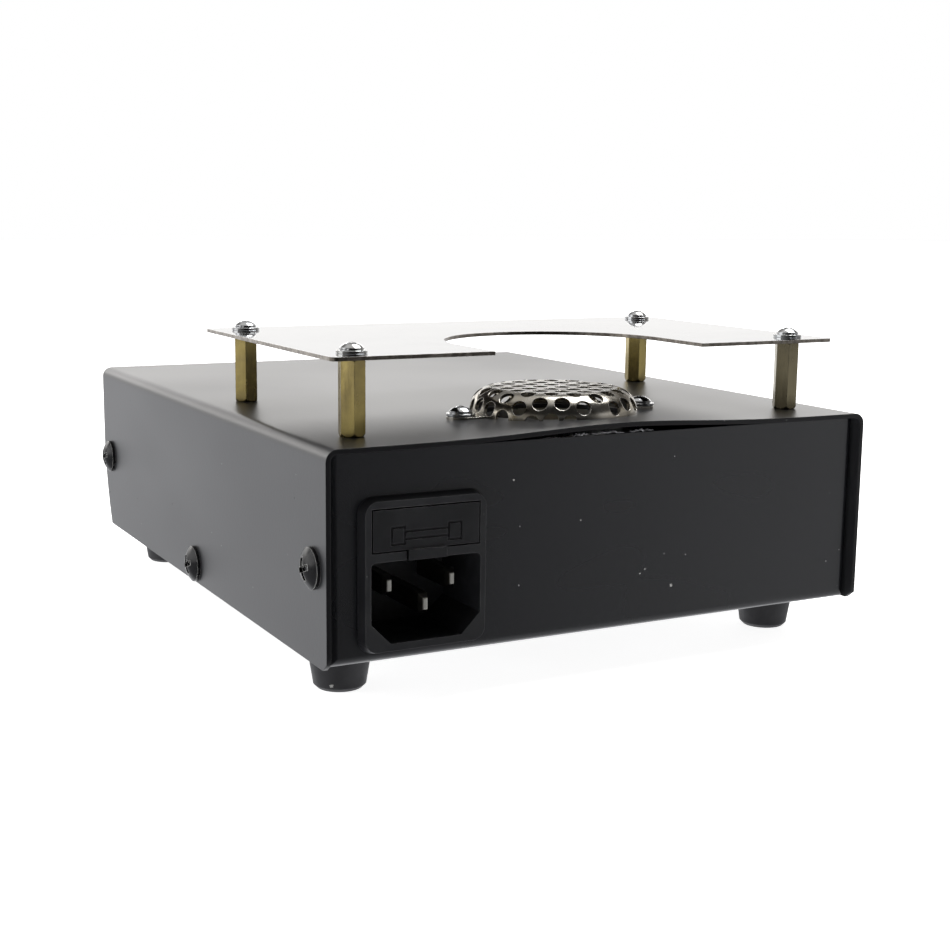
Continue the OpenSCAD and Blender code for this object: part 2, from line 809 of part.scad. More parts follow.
// Side view of a pin of width w and length l, its tip narrowed to a flat end
module pin_side(w, l, end_w) {
    taper = 1.4;
    polygon([[-w / 2, 0], [w / 2, 0], [w / 2, l - taper], [end_w / 2, l],
        [-end_w / 2, l], [-w / 2, l - taper]]);
}

module inlet_pin(u, v, tip_depth) {
    l = bezel_t - tip_depth - tag_end;
    color("#b9b7ae") on_rear(inlet_x, inlet_z) translate([u, v, tag_end]) intersection() {
        rotate([90, 0, 90]) linear_extrude(pin_w, center = true) pin_side(pin_h, l, pin_tip_h);
        rotate([90, 0, 0]) linear_extrude(pin_h, center = true) pin_side(pin_w, l, pin_tip_w);
    }
}

module fuse_drawer() {
    color("#202022") on_rear(inlet_x, inlet_z) difference() {
        union() {
            translate([0, 0, bezel_t - drawer_front_t]) linear_extrude(drawer_front_t) drawer_outline(0);
            translate([0, socket_top + tab_h / 2, bezel_t]) linear_extrude(tab_rise)
                square([tab_w, tab_h], center = true);
            translate([-tray_w / 2, drawer_mid - tray_h / 2, bezel_t - drawer_front_t - tray_depth])
                cube([tray_w, tray_h, tray_depth + 0.5]);
        }
        translate([0, drawer_mid, fuse_w]) fuse_pocket();
        fuse_symbol();
    }
}

// Trough for the fuse, open to the rear of the drawer
module fuse_pocket() {
    rotate([0, 90, 0]) cylinder(d = fuse_d + 0.1, h = fuse_l + 0.2, center = true);
    translate([-(fuse_l + 0.2) / 2, -(fuse_d + 0.1) / 2, -tray_depth])
        cube([fuse_l + 0.2, fuse_d + 0.1, tray_depth]);
}

// Shallow outline of a fuse pressed into the drawer's front: a bar between two square caps
module fuse_symbol() {
    line = 0.5;
    sink = 0.4;
    bar_w = 9.2;
    bar_h = 2;
    cap_w = 3.3;
    cap_h = 3.9;
    drop = 1.2;
    translate([0, drawer_mid - drop, bezel_t - sink]) linear_extrude(1) {
        for (e = [-1, 1])
            translate([0, e * (bar_h - line) / 2]) square([bar_w, line], center = true);
        for (e = [-1, 1])
            translate([e * (bar_w + cap_w) / 2, 0]) difference() {
                square([cap_w, cap_h], center = true);
                square([cap_w - 2 * line, cap_h - 2 * line], center = true);
            }
    }
}

module fuse_glass() {
    l = fuse_l - 2 * fuse_cap_l;
    color("#dfe8ea") on_rear(inlet_x, inlet_z) translate([0, drawer_mid, fuse_w]) rotate([0, 90, 0])
        difference() {
            cylinder(d = fuse_d - 0.4, h = l, center = true);
            cylinder(d = fuse_d - 1.6, h = l + 1, center = true);
        }
}

module fuse_caps() {
    color("#c2c3c4") on_rear(inlet_x, inlet_z) translate([0, drawer_mid, fuse_w]) rotate([0, 90, 0])
        for (s = [0, 1])
            mirror([0, 0, s]) translate([0, 0, fuse_l / 2 - fuse_cap_l]) cylinder(d = fuse_d, h = fuse_cap_l);
}

module fuse_terminals() {
    front = bezel_t - drawer_front_t - tray_depth - 2 * slide_gap;
    color("#b9b7ae") on_rear(inlet_x, inlet_z) for (s = [-1, 1])
        translate([s * terminal_x - terminal_t / 2, drawer_mid - terminal_w / 2, tag_end])
            cube([terminal_t, terminal_w, front - tag_end]);
}

module fan_frame() {
    strut_w = 3;
    color("#1a1b1c") in_frame() translate([0, dome_y, floor_z]) difference() {
        union() {
            difference() {
                linear_extrude(fan_h) rounded_rect(fan_size, fan_size, 3);
                translate([0, 0, -1]) cylinder(d = fan_bore, h = fan_h + 2);
            }
            cylinder(d = fan_hub_d, h = fan_floor);
            cylinder(d = boss_d, h = fan_floor + bearing_l);
            for (a = [0, 120, 240])
                rotate(a) translate([0, -strut_w / 2, 0]) cube([fan_bore / 2 + 0.5, strut_w, fan_floor]);
        }
        translate([0, 0, fan_floor]) cylinder(d = bearing_d + 0.04, h = bearing_l + 1);
        for (sx = [-1, 1], sy = [-1, 1])
            translate([sx * fan_hole_span / 2, sy * fan_hole_span / 2, -1]) cylinder(d = m3_d, h = fan_h + 2);
    }
}

module fan_bearing() {
    color("#a8823f") in_frame() translate([0, dome_y, floor_z + fan_floor]) difference() {
        cylinder(d = bearing_d, h = bearing_l);
        translate([0, 0, -1]) cylinder(d = fan_shaft_d + 2 * run_gap, h = bearing_l + 2);
    }
}

module fan_shaft() {
    color("#b5b8bc") in_frame() translate([0, dome_y, floor_z + fan_floor + thrust_gap])
        cylinder(d = fan_shaft_d, h = fan_h - fan_floor - thrust_gap - 2);
}

// Cup hub over the bearing with flat blades set at an angle
module fan_impeller() {
    hub_low = fan_floor + 1;
    hub_top = fan_h - 1.5;
    cup_wall = 1.5;
    post_d = 5;
    post_low = fan_floor + bearing_l + thrust_gap;
    pitch_angle = 42;
    blade_t = 1.2;
    chord = (hub_top - hub_low - 1) / sin(pitch_angle) - blade_t;
    tip_r = fan_bore / 2 - 0.7;
    mid_r = tip_r / 2 + fan_hub_d / 4;
    mid_z = (hub_low + hub_top) / 2;
    color("#26282a") in_frame() translate([0, dome_y, floor_z]) {
        difference() {
            translate([0, 0, hub_low]) cylinder(d = fan_hub_d, h = hub_top - hub_low);
            translate([0, 0, hub_low - 1]) difference() {
                cylinder(d = fan_hub_d - 2 * cup_wall, h = hub_top - hub_low - cup_wall + 1);
                translate([0, 0, post_low - hub_low + 1]) cylinder(d = post_d, h = fan_h);
            }
            cylinder(d = fan_shaft_d + 0.02, h = fan_h - 2);
        }
        intersection() {
            for (i = [0 : fan_blades - 1])
                rotate(i * 360 / fan_blades) translate([mid_r, 0, mid_z]) rotate([pitch_angle, 0, 0])
                    cube([tip_r - fan_hub_d / 2 + 2.4, chord, blade_t], center = true);
            difference() {
                cylinder(r = tip_r, h = fan_h);
                translate([0, 0, -1]) cylinder(r = fan_hub_d / 2 - 0.4, h = fan_h + 2);
            }
        }
    }
}

module fan_screws() {
    bite = 8;
    color("#8d8f93") in_frame() for (sx = [-1, 1], sy = [-1, 1])
        translate([sx * fan_hole_span / 2, dome_y + sy * fan_hole_span / 2, base_z]) mirror([0, 0, 1])
            dome_screw(m3_head_d, m3_head_h, m3_shank, sheet_t + bite);
}

// Steel tube between the fan and the cover, hung from the dome's screws by two ears
module heater_sleeve() {
    ear_w = 8;
    color("#9a9c9e") in_frame() translate([0, dome_y, 0]) difference() {
        union() {
            difference() {
                translate([0, 0, sleeve_z]) cylinder(d = sleeve_d, h = sleeve_h);
                translate([0, 0, sleeve_z + sleeve_t]) cylinder(d = sleeve_d - 2 * sleeve_t, h = sleeve_h);
                translate([0, 0, sleeve_z - 1]) cylinder(d = sleeve_d - 2 * lip - 2 * sleeve_t, h = 4);
            }
            for (s = [0, 1])
                mirror([s, 0, 0]) translate([0, 0, ceiling_z - sleeve_ear_t]) linear_extrude(sleeve_ear_t)
                    difference() {
                        union() {
                            translate([0, -ear_w / 2]) square([dome_screw_span / 2, ear_w]);
                            translate([dome_screw_span / 2, 0]) circle(d = ear_w);
                        }
                        circle(d = sleeve_d - sleeve_t);
                        translate([dome_screw_span / 2, 0]) circle(d = m3_hole);
                    }
        }
        translate([0, 0, probe_z]) rotate([90, 0, 0]) cylinder(d = probe_d + 0.1, h = sleeve_d);
        for (s = [-1, 1])
            translate([s * bead_x, 0, bead_z]) rotate([90, 0, 0]) cylinder(d = bead_d + 0.1, h = sleeve_d);
    }
}

// Two crossed mica sheets, combed at their edges to carry the coil
module heater_former() {
    slot_h = coil_wire_d + 0.6;
    slot_r = coil_r - coil_wire_d / 2 - 0.3;
    color("#c7b48a") in_frame() translate([0, dome_y, 0]) difference() {
        for (a = [0, 90])
            rotate(a) translate([-former_r, -former_t / 2, former_z])
                cube([2 * former_r, former_t, former_h]);
        for (q = [0 : 3], k = [0 : coil_turns])
            rotate(q * 90) translate([slot_r, -2, coil_z + coil_pitch * (k + q / 4) - slot_h / 2])
                cube([10, 4, slot_h]);
    }
}

// Points of one cross-section of the coil wire at a given angle along the helix
function coil_ring(angle, sides) = [
    for (i = [0 : sides - 1])
        let (
            b = i * 360 / sides,
            r = coil_r + coil_wire_d / 2 * cos(b)
        )
        [r * cos(angle), r * sin(angle), coil_z + coil_pitch * angle / 360 + coil_wire_d / 2 * sin(b)]
];

module heater_coil() {
    sides = 6;
    steps = 24 * coil_turns;
    points = [for (k = [0 : steps]) each coil_ring(k * 15, sides)];
    color("#7d6a5a") in_frame() translate([0, dome_y, 0]) polyhedron(points, tube_faces(steps + 1, sides));
}

module heater_beads() {
    inner = sleeve_d / 2 - 2.4;
    color("#e6e1d3") in_frame() for (s = [-1, 1])
        translate([s * bead_x, dome_y - inner, bead_z]) rotate([90, 0, 0]) difference() {
            cylinder(d = bead_d, h = bead_end - inner);
            translate([0, 0, -1]) cylinder(d = 1.4, h = bead_end);
        }
}

module thermocouple() {
    color("#b5b8bc") in_frame() translate([0, dome_y - 4, probe_z]) rotate([90, 0, 0])
        cylinder(d = probe_d, h = probe_end - 4);
}

module control_board() {
    color("#2f6b3c") in_frame() translate([0, board_y, board_bottom]) linear_extrude(board_t) difference() {
        rounded_rect(board_w, board_d, 2);
        for (sx = [-1, 1], sy = [-1, 1])
            translate([sx * board_hole_x, sy * board_hole_y]) circle(d = m3_hole);
    }
}

module board_spacers() {
    color("#b08d45") in_frame() for (sx = [-1, 1], sy = [-1, 1])
        translate([sx * board_hole_x, board_y + sy * board_hole_y, floor_z]) nut(m3_nut_af, m3_d, spacer_h);
}

module board_screws() {
    color("#8d8f93") in_frame() for (sx = [-1, 1], sy = [-1, 1])
        translate([sx * board_hole_x, board_y + sy * board_hole_y, board_top])
            dome_screw(m3_head_d, m3_head_h, m3_shank, board_t + spacer_h + sheet_t);
}

module transformer_core() {
    core_w = core_leg * 4;
    color("#6d7075") in_frame() translate([transformer_x, board_y, board_top + core_h / 2])
        rotate([90, 0, 0]) linear_extrude(core_d, center = true) difference() {
            square([core_w, core_h], center = true);
            for (s = [-1, 1])
                translate([s * core_leg, 0]) square([core_leg * 0.75, core_h - 2 * yoke_h], center = true);
        }
}

module transformer_coil() {
    leg = core_leg * 1.25;
    slack = 0.2;
    color("#c9a646") in_frame() translate([transformer_x, board_y, board_top + core_h / 2]) difference() {
        linear_extrude(core_h - 2 * yoke_h - 2 * slack, center = true)
            rounded_rect(leg + core_leg * 1.5 - 2 * slack, core_d + core_leg * 1.5, 2);
        cube([leg + slack, core_d + slack, core_h], center = true);
    }
}

module heat_sink() {
    fins = 6;
    fin_t = 1.5;
    fin_l = 9;
    color("#3a3c40") in_frame() translate([sink_x, board_y, board_top]) {
        translate([-sink_w / 2, 0, 0]) cube([sink_w, 3, sink_h]);
        for (i = [0 : fins - 1])
            translate([-sink_w / 2 + i * (sink_w - fin_t) / (fins - 1), 2.5, 0])
                cube([fin_t, fin_l + 0.5, sink_h]);
    }
}

module triac() {
    color("#1c1c1e") in_frame() translate([sink_x, board_y, board_top]) {
        translate([-5, -1.3, 5]) cube([10, 1.3, 15.5]);
        translate([-5, -4.5, 5]) cube([10, 3.5, 9]);
        for (x = [-2.54, 0, 2.54])
            translate([x - 0.4, -3.2, 0]) cube([0.8, 0.5, 6]);
    }
}

module capacitor() {
    can_d = 10;
    can_h = 16;
    color("#25364f") in_frame() translate([capacitor_x, board_y - 12, board_top]) rotate_extrude() {
        square([can_d / 2 - 1, can_h]);
        square([can_d / 2, can_h - 1]);
        translate([can_d / 2 - 1, can_h - 1]) circle(1);
    }
}

module terminal_block() {
    color("#2d7a46") in_frame() translate([0, block_y, board_top]) difference() {
        translate([-block_w / 2, -block_d / 2, 0]) cube([block_w, block_d, block_h]);
        for (x = [-9, -3, 3, 9])
            translate([x, 0, block_h - 3]) cylinder(d = 3.4, h = 4);
    }
}

// Rocker switch body: flange in front of the panel, box behind it, room for the rocker inside
module switch_body() {
    room_w = rocker_w + 2 * slide_gap;
    color("#1a1a1c") on_front(switch_x, control_z) difference() {
        union() {
            linear_extrude(switch_flange_t) rounded_rect(switch_w, switch_h, 1.5);
            translate([-switch_body_w / 2, -switch_body_h / 2, -switch_depth])
                cube([switch_body_w, switch_body_h, switch_depth + 0.5]);
        }
        translate([0, 0, rocker_pivot]) rotate([0, 90, 0])
            cylinder(r = rocker_r + slide_gap, h = room_w, center = true);
        translate([-room_w / 2, -rocker_r - slide_gap, rocker_pivot])
            cube([room_w, 2 * (rocker_r + slide_gap), 10]);
        translate([0, 0, rocker_pivot]) rotate([0, 90, 0])
            cylinder(d = pivot_d + 2 * run_gap, h = rocker_w + 1.6, center = true);
    }
}

module switch_terminals() {
    color("#b9b7ae") on_front(switch_x, control_z) for (sx = [-1, 1], sy = [-1, 1])
        translate([sx * tag_x, sy * tag_y, -switch_depth - tag_l / 2]) cube([0.8, 4.8, tag_l], center = true);
}

module switch_rocker() {
    half = rocker_swing / 2;
    reach = rocker_r + 1;
    back = 3;
    color("#0f0f10") on_front(switch_x, control_z) translate([0, 0, rocker_pivot]) rotate([-half, 0, 0]) {
        intersection() {
            rotate([0, 90, 0]) cylinder(r = rocker_r, h = rocker_w, center = true);
            rotate([90, 0, 90]) linear_extrude(rocker_w, center = true)
                polygon([[-reach, -back], [reach, -back], [reach, rocker_crest + reach * tan(half)],
                    [0, rocker_crest], [-reach, rocker_crest + reach * tan(half)]]);
        }
        rotate([0, 90, 0]) cylinder(d = pivot_d, h = rocker_w + 1.2, center = true);
    }
}

module lamp_holder() {
    color("#1c1c1e") on_front(lamp_x, control_z) difference() {
        union() {
            cylinder(d = lamp_d, h = 1.2);
            translate([0, 0, -lamp_l]) cylinder(d = lamp_hole - slide_gap, h = lamp_l + 1);
        }
        translate([0, 0, -lamp_l + 1]) cylinder(d = lamp_bore, h = lamp_l + 2);
    }
}

module lamp_lens() {
    cap_d = lamp_bore - 0.1;
    color("#c2261e") on_front(lamp_x, control_z) {
        translate([0, 0, -lamp_l + 1]) cylinder(d = cap_d, h = lamp_l + 0.5);
        translate([0, 0, 1.5]) intersection() {
            sphere(d = cap_d);
            cylinder(d = cap_d + 1, h = cap_d);
        }
    }
}

module pot_body() {
    color("#6f7277") on_front(knob_x, control_z) difference() {
        union() {
            translate([0, 0, -sheet_t - pot_l]) cylinder(d = pot_d, h = pot_l);
            translate([0, 0, -sheet_t - 1]) cylinder(d = bush_d, h = bush_l + sheet_t + 1);
        }
        translate([0, 0, -sheet_t - pot_l + 1]) cylinder(d = shaft_d + 2 * run_gap, h = pot_l + bush_l + 4);
    }
}

module pot_shaft() {
    low = -sheet_t - pot_l + 1 + thrust_gap;
    color("#b5b8bc") on_front(knob_x, control_z) translate([0, 0, low])
        cylinder(d = shaft_d, h = shaft_top - low);
}

module pot_nut() {
    color("#b5b8bc") on_front(knob_x, control_z) nut(pot_nut_af, bush_d + 0.05, pot_nut_h);
}

// Ribbed knob with a pointer groove across its face
module temperature_knob() {
    ribs = 24;
    rib_r = 0.9;
    room_d = pot_nut_af / cos(30) + 2;
    edge = 1.2;
    pointer_rest = 150;
    color("#141415") on_front(knob_x, control_z) translate([0, 0, knob_gap]) difference() {
        rotate_extrude() {
            square([knob_d / 2, knob_l - edge]);
            square([knob_d / 2 - edge, knob_l]);
            translate([knob_d / 2 - edge, knob_l - edge]) circle(edge);
        }
        translate([0, 0, -1]) cylinder(d = room_d, h = bush_l + 1);
        cylinder(d = shaft_d + 0.02, h = shaft_top - knob_gap);
        for (i = [0 : ribs - 1])
            rotate((i + 0.5) * 360 / ribs) translate([knob_d / 2 + rib_r * 0.4, 0, 2])
                cylinder(r = rib_r, h = knob_l);
        rotate(pointer_rest) translate([-0.6, 2, knob_l - 0.6]) cube([1.2, knob_d / 2, 2]);
    }
}

module supply_wires() {
    d = 2;
    lead = 8;
    stub = 6;
    sweep = 14;
    tag_y_rear = rear_face + tag_end;
    switch_y = front_face + switch_depth + tag_l;
    color("#7a3a2c") in_frame() {
        wire([[inlet_x - terminal_x, tag_y_rear, inlet_z + drawer_mid],
            [inlet_x - terminal_x, tag_y_rear - lead, inlet_z + drawer_mid],
            [lane_x, board_y + 25, board_top + lead], [lane_x, switch_y + sweep, board_top + lead],
            [switch_x + tag_x, switch_y + stub, control_z + tag_y],
            [switch_x + tag_x, switch_y, control_z + tag_y]], d);
        wire([[inlet_x + pin_pitch / 2, tag_y_rear, inlet_z + pin_v],
            [inlet_x + pin_pitch / 2, tag_y_rear - lead, inlet_z + pin_v],
            [lane_x, board_y + 25, board_top], [lane_x, switch_y + sweep, board_top],
            [switch_x + tag_x, switch_y + stub, control_z - tag_y],
            [switch_x + tag_x, switch_y, control_z - tag_y]], d);
        for (s = [-1, 1])
            wire([[switch_x - tag_x, switch_y, control_z + s * tag_y],
                [switch_x - tag_x, switch_y + stub, control_z + s * tag_y],
                [5 + s * 2, board_y - 4, board_top + sweep + s * 3],
                [3 + s * 3, block_y - block_d / 2 - 5, board_top + block_h / 2],
                [3 + s * 3, block_y - block_d / 2, board_top + block_h / 2]], d);
    }
}

// Earth lead with a ring terminal clamped to the floor
module earth_wire() {
    d = 2;
    tag_y_rear = rear_face + tag_end;
    pin_z = inlet_z + pin_v - earth_drop;
    tail = 6;
    color("#3f8a3a") in_frame() {
        wire([[inlet_x, tag_y_rear, pin_z], [inlet_x, tag_y_rear - tail, pin_z],
            [earth_x, earth_y + 2 * tail, floor_z + 4], [earth_x, earth_y + tail, floor_z + 1.1]], d);
        translate([earth_x, earth_y, floor_z]) linear_extrude(ring_t) difference() {
            union() {
                circle(d = 7);
                translate([-1.5, 0]) square([3, tail + 1]);
            }
            circle(d = m3_hole);
        }
    }
}

module earth_screw() {
    color("#b5b8bc") in_frame() translate([earth_x, earth_y, floor_z + ring_t])
        dome_screw(m3_head_d, m3_head_h, m3_shank, ring_t + sheet_t);
}

module heater_wires() {
    d = 1.8;
    block_z = board_top + block_h / 2;
    color("#d8d2c0") in_frame() for (s = [-1, 1])
        wire([[s * bead_x, dome_y - bead_end, bead_z], [s * bead_x, dome_y - bead_end - 5, bead_z],
            [s * 6, block_y + block_d / 2 + 5, block_z], [s * 6, block_y + block_d / 2, block_z]], d);
}

module signal_wires() {
    d = 1.4;
    board_rear = board_y + board_d / 2 - 3;
    board_front = board_y - board_d / 2 + 5;
    color("#2b4a7c") in_frame() {
        wire([[-fan_size / 3, dome_y - fan_size / 2, floor_z + 6],
            [-fan_size / 3, dome_y - fan_size / 2 - 6, floor_z + 6],
            [-18, board_rear, board_top + 6], [-18, board_rear, board_top]], d);
        wire([[0, dome_y - probe_end, probe_z], [0, dome_y - probe_end - 5, probe_z],
            [-24, board_rear, board_top + 8], [-24, board_rear, board_top]], d);
        wire([[lamp_x, front_face + lamp_l, control_z], [lamp_x, front_face + lamp_l + 6, control_z],
            [lamp_x, board_front, board_top + 6], [lamp_x, board_front, board_top]], d);
        wire([[knob_x, front_face + sheet_t + pot_l, control_z],
            [knob_x, front_face + sheet_t + pot_l + 6, control_z],
            [knob_x, board_front, board_top + 6], [knob_x, board_front, board_top]], d);
    }
}

base_chassis();
cover();
cover_screws();
foot(-1, 1);  // foot_rear_left
foot(1, 1);  // foot_rear_right
foot(-1, -1);  // foot_front_left
foot(1, -1);  // foot_front_right
foot_screws();
foot_nuts();
work_plate();
standoff(-1, 1, 1);  // standoff_rear_left
standoff(1, 1, 18);  // standoff_rear_right
standoff(-1, -1, 14);  // standoff_front_left
standoff(1, -1, 9);  // standoff_front_right
standoff_nuts();
plate_screws();
air_dome();
dome_screws();
dome_nuts();
inlet_housing();
inlet_pin(pin_pitch / 2, pin_v, pin_tip_depth);  // inlet_pin_live
inlet_pin(-pin_pitch / 2, pin_v, pin_tip_depth);  // inlet_pin_neutral
inlet_pin(0, pin_v - earth_drop, earth_tip_depth);  // inlet_pin_earth
fuse_drawer();
fuse_glass();
fuse_caps();
fuse_terminals();
fan_frame();
fan_bearing();
fan_shaft();
fan_impeller();
fan_screws();
heater_sleeve();
heater_former();
heater_coil();
heater_beads();
thermocouple();
control_board();
board_spacers();
board_screws();
transformer_core();
transformer_coil();
heat_sink();
triac();
capacitor();
terminal_block();
switch_body();
switch_terminals();
switch_rocker();
lamp_holder();
lamp_lens();
pot_body();
pot_shaft();
pot_nut();
temperature_knob();
supply_wires();
earth_wire();
earth_screw();
heater_wires();
signal_wires();
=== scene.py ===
import math
import random

import bmesh
import bpy
from mathutils import Matrix, Vector


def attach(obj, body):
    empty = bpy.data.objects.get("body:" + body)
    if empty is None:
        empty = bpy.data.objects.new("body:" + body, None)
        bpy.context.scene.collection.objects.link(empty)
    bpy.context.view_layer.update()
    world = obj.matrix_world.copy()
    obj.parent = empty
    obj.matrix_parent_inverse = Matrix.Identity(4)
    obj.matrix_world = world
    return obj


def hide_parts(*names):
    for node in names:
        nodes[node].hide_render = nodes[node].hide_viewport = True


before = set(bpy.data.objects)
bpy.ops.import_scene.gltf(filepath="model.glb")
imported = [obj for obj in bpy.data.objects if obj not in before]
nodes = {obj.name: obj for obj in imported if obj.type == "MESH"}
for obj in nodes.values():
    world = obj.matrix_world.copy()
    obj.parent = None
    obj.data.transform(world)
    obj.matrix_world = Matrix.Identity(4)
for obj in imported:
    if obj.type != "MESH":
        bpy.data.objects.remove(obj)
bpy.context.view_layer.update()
scene = bpy.context.scene
random.seed(7)

chip_tone = (0.33, 0.33, 0.32, 1)
dust_tone = (0.42, 0.42, 0.43, 1)
fluff_tone = (0.4, 0.4, 0.4, 1)


# Node helpers

def material(name):
    """New material with its node tree and its Principled shader."""
    m = bpy.data.materials.new(name)
    m.use_nodes = True
    return m, m.node_tree, m.node_tree.nodes["Principled BSDF"]


def add(tree, kind, **settings):
    """New node with its settings."""
    n = tree.nodes.new(kind)
    for k, v in settings.items():
        setattr(n, k, v)
    return n


def put(tree, socket, value):
    """Links a socket or sets a constant."""
    if isinstance(value, bpy.types.NodeSocket):
        tree.links.new(value, socket)
    else:
        socket.default_value = value


def place(tree, scale=(1, 1, 1), offset=(0, 0, 0)):
    """Coordinates in the part's own frame, in metres, stretched by scale."""
    c = add(tree, "ShaderNodeTexCoord")
    m = add(tree, "ShaderNodeMapping")
    m.inputs["Location"].default_value = offset
    m.inputs["Scale"].default_value = scale
    tree.links.new(c.outputs["Object"], m.inputs["Vector"])
    return m.outputs["Vector"]


def noise(tree, at, scale, detail=3.0, rough=0.55, warp=0.0):
    """Noise at a number of waves per metre."""
    n = add(tree, "ShaderNodeTexNoise")
    tree.links.new(at, n.inputs["Vector"])
    n.inputs["Scale"].default_value = scale
    n.inputs["Detail"].default_value = detail
    n.inputs["Roughness"].default_value = rough
    n.inputs["Distortion"].default_value = warp
    return n.outputs["Fac"]


def span(tree, value, low, high, to_low=0.0, to_high=1.0, smooth=True):
    """Maps a value's range low to high onto another range."""
    n = add(tree, "ShaderNodeMapRange", interpolation_type="SMOOTHSTEP" if smooth else "LINEAR")
    put(tree, n.inputs["Value"], value)
    n.inputs["From Min"].default_value = low
    n.inputs["From Max"].default_value = high
    n.inputs["To Min"].default_value = to_low
    n.inputs["To Max"].default_value = to_high
    return n.outputs["Result"]


def blend(tree, factor, a, b):
    """Mixes two colours."""
    n = add(tree, "ShaderNodeMix", data_type="RGBA")
    put(tree, n.inputs["Factor"], factor)
    put(tree, n.inputs[6], a)
    put(tree, n.inputs[7], b)
    return n.outputs[2]


def maths(tree, op, a, b=0.0):
    """One sum of two values."""
    n = add(tree, "ShaderNodeMath", operation=op)
    put(tree, n.inputs[0], a)
    put(tree, n.inputs[1], b)
    return n.outputs[0]


def bump(tree, height, depth, strength=1.0, under=None):
    """Bump of a given depth in metres."""
    n = add(tree, "ShaderNodeBump")
    n.inputs["Strength"].default_value = strength
    n.inputs["Distance"].default_value = depth
    put(tree, n.inputs["Height"], height)
    if under is not None:
        tree.links.new(under, n.inputs["Normal"])
    return n.outputs["Normal"]


def normal_axes(tree):
    """X, Y and Z of the surface's own normal."""
    g = add(tree, "ShaderNodeNewGeometry")
    s = add(tree, "ShaderNodeSeparateXYZ")
    tree.links.new(g.outputs["True Normal"], s.inputs["Vector"])
    return s.outputs


def soft_edges(tree, radius):
    """Normal that rounds the sharp edges, and a mask that is 1 along them."""
    b = add(tree, "ShaderNodeBevel", samples=4)
    b.inputs["Radius"].default_value = radius
    g = add(tree, "ShaderNodeNewGeometry")
    d = add(tree, "ShaderNodeVectorMath", operation="DOT_PRODUCT")
    tree.links.new(b.outputs["Normal"], d.inputs[0])
    tree.links.new(g.outputs["True Normal"], d.inputs[1])
    return b.outputs["Normal"], span(tree, d.outputs["Value"], 0.995, 0.90)


def specks(tree, at, scale, share, size):
    """Mask of small scattered spots: about share of the cells hold one of that size, in cell widths."""
    v = add(tree, "ShaderNodeTexVoronoi")
    tree.links.new(at, v.inputs["Vector"])
    v.inputs["Scale"].default_value = scale
    s = add(tree, "ShaderNodeSeparateColor")
    tree.links.new(v.outputs["Color"], s.inputs["Color"])
    picked = maths(tree, "LESS_THAN", s.outputs["Red"], share)
    near = span(tree, v.outputs["Distance"], size, size * 0.55)
    return maths(tree, "MULTIPLY", picked, near)


def near_point(tree, point, radius, ragged=0.0):
    """Mask that is 1 within radius of a point of the part."""
    d = add(tree, "ShaderNodeVectorMath", operation="DISTANCE")
    tree.links.new(place(tree), d.inputs[0])
    d.inputs[1].default_value = point
    dist = d.outputs["Value"]
    if ragged:
        reach = ragged * radius
        wobble = span(tree, noise(tree, place(tree), 1.4 / radius), 0.3, 0.7, -reach, reach)
        dist = maths(tree, "ADD", dist, wobble)
    return span(tree, dist, radius, radius * 0.8)


# Materials

def nicked(tree, tone, marks):
    """Pale chips in a finish, each given by its place and radius."""
    for point, radius in marks:
        tone = blend(tree, near_point(tree, point, radius, 0.4), tone, chip_tone)
    return tone


def powder_coat(name, base, lift, rough, edge_wear_and_painted_highlight, painted_rear_shade=None, shine=0.5, marks=()):
    """Satin black powder coat: orange peel, pits, dust, chips and paler edges that are rubbed wear with a
    painted edge highlight; faces that look to the rear get painted shade.
    """
    m, t, p = material(name)
    at = place(t)
    cloud = noise(t, at, 14, 2)
    tone = blend(t, span(t, cloud, 0.25, 0.8), base, lift)
    normal, edge = soft_edges(t, 0.0003)
    # Paler edges: rubbed wear together with a painted edge highlight.
    edge_wear_and_painted_highlight_mask = maths(t, "MULTIPLY", edge, span(t, noise(t, at, 260, 3), 0.35, 0.70, 0.1, 0.7))
    tone = blend(t, edge_wear_and_painted_highlight_mask, tone, edge_wear_and_painted_highlight)
    # Painted shade: faces that look to the rear are toned darker.
    if painted_rear_shade is not None:
        tone = blend(t, span(t, normal_axes(t)["Y"], 0.15, 0.45), tone, painted_rear_shade)
    dust = maths(t, "ADD", specks(t, at, 210, 0.05, 0.055), specks(t, at, 520, 0.03, 0.10))
    tone = blend(t, maths(t, "MULTIPLY", dust, 0.55), tone, dust_tone)
    put(t, p.inputs["Base Color"], nicked(t, tone, marks))
    smear = noise(t, place(t, (1, 1, 2.4), (0.2, 0, 0)), 12, 2, 0.5)
    gloss = span(t, smear, 0.25, 0.8, rough - 0.02, rough + 0.03)
    put(t, p.inputs["Roughness"], maths(t, "ADD", gloss, maths(t, "MULTIPLY", dust, 0.3)))
    p.inputs["Specular IOR Level"].default_value = shine
    peel = noise(t, at, 1500, 2, 0.5)
    pits = bump(t, specks(t, at, 120, 0.10, 0.035), -0.00025, 1.0, normal)
    put(t, p.inputs["Normal"], bump(t, peel, 0.00003, 0.5, pits))
    return m


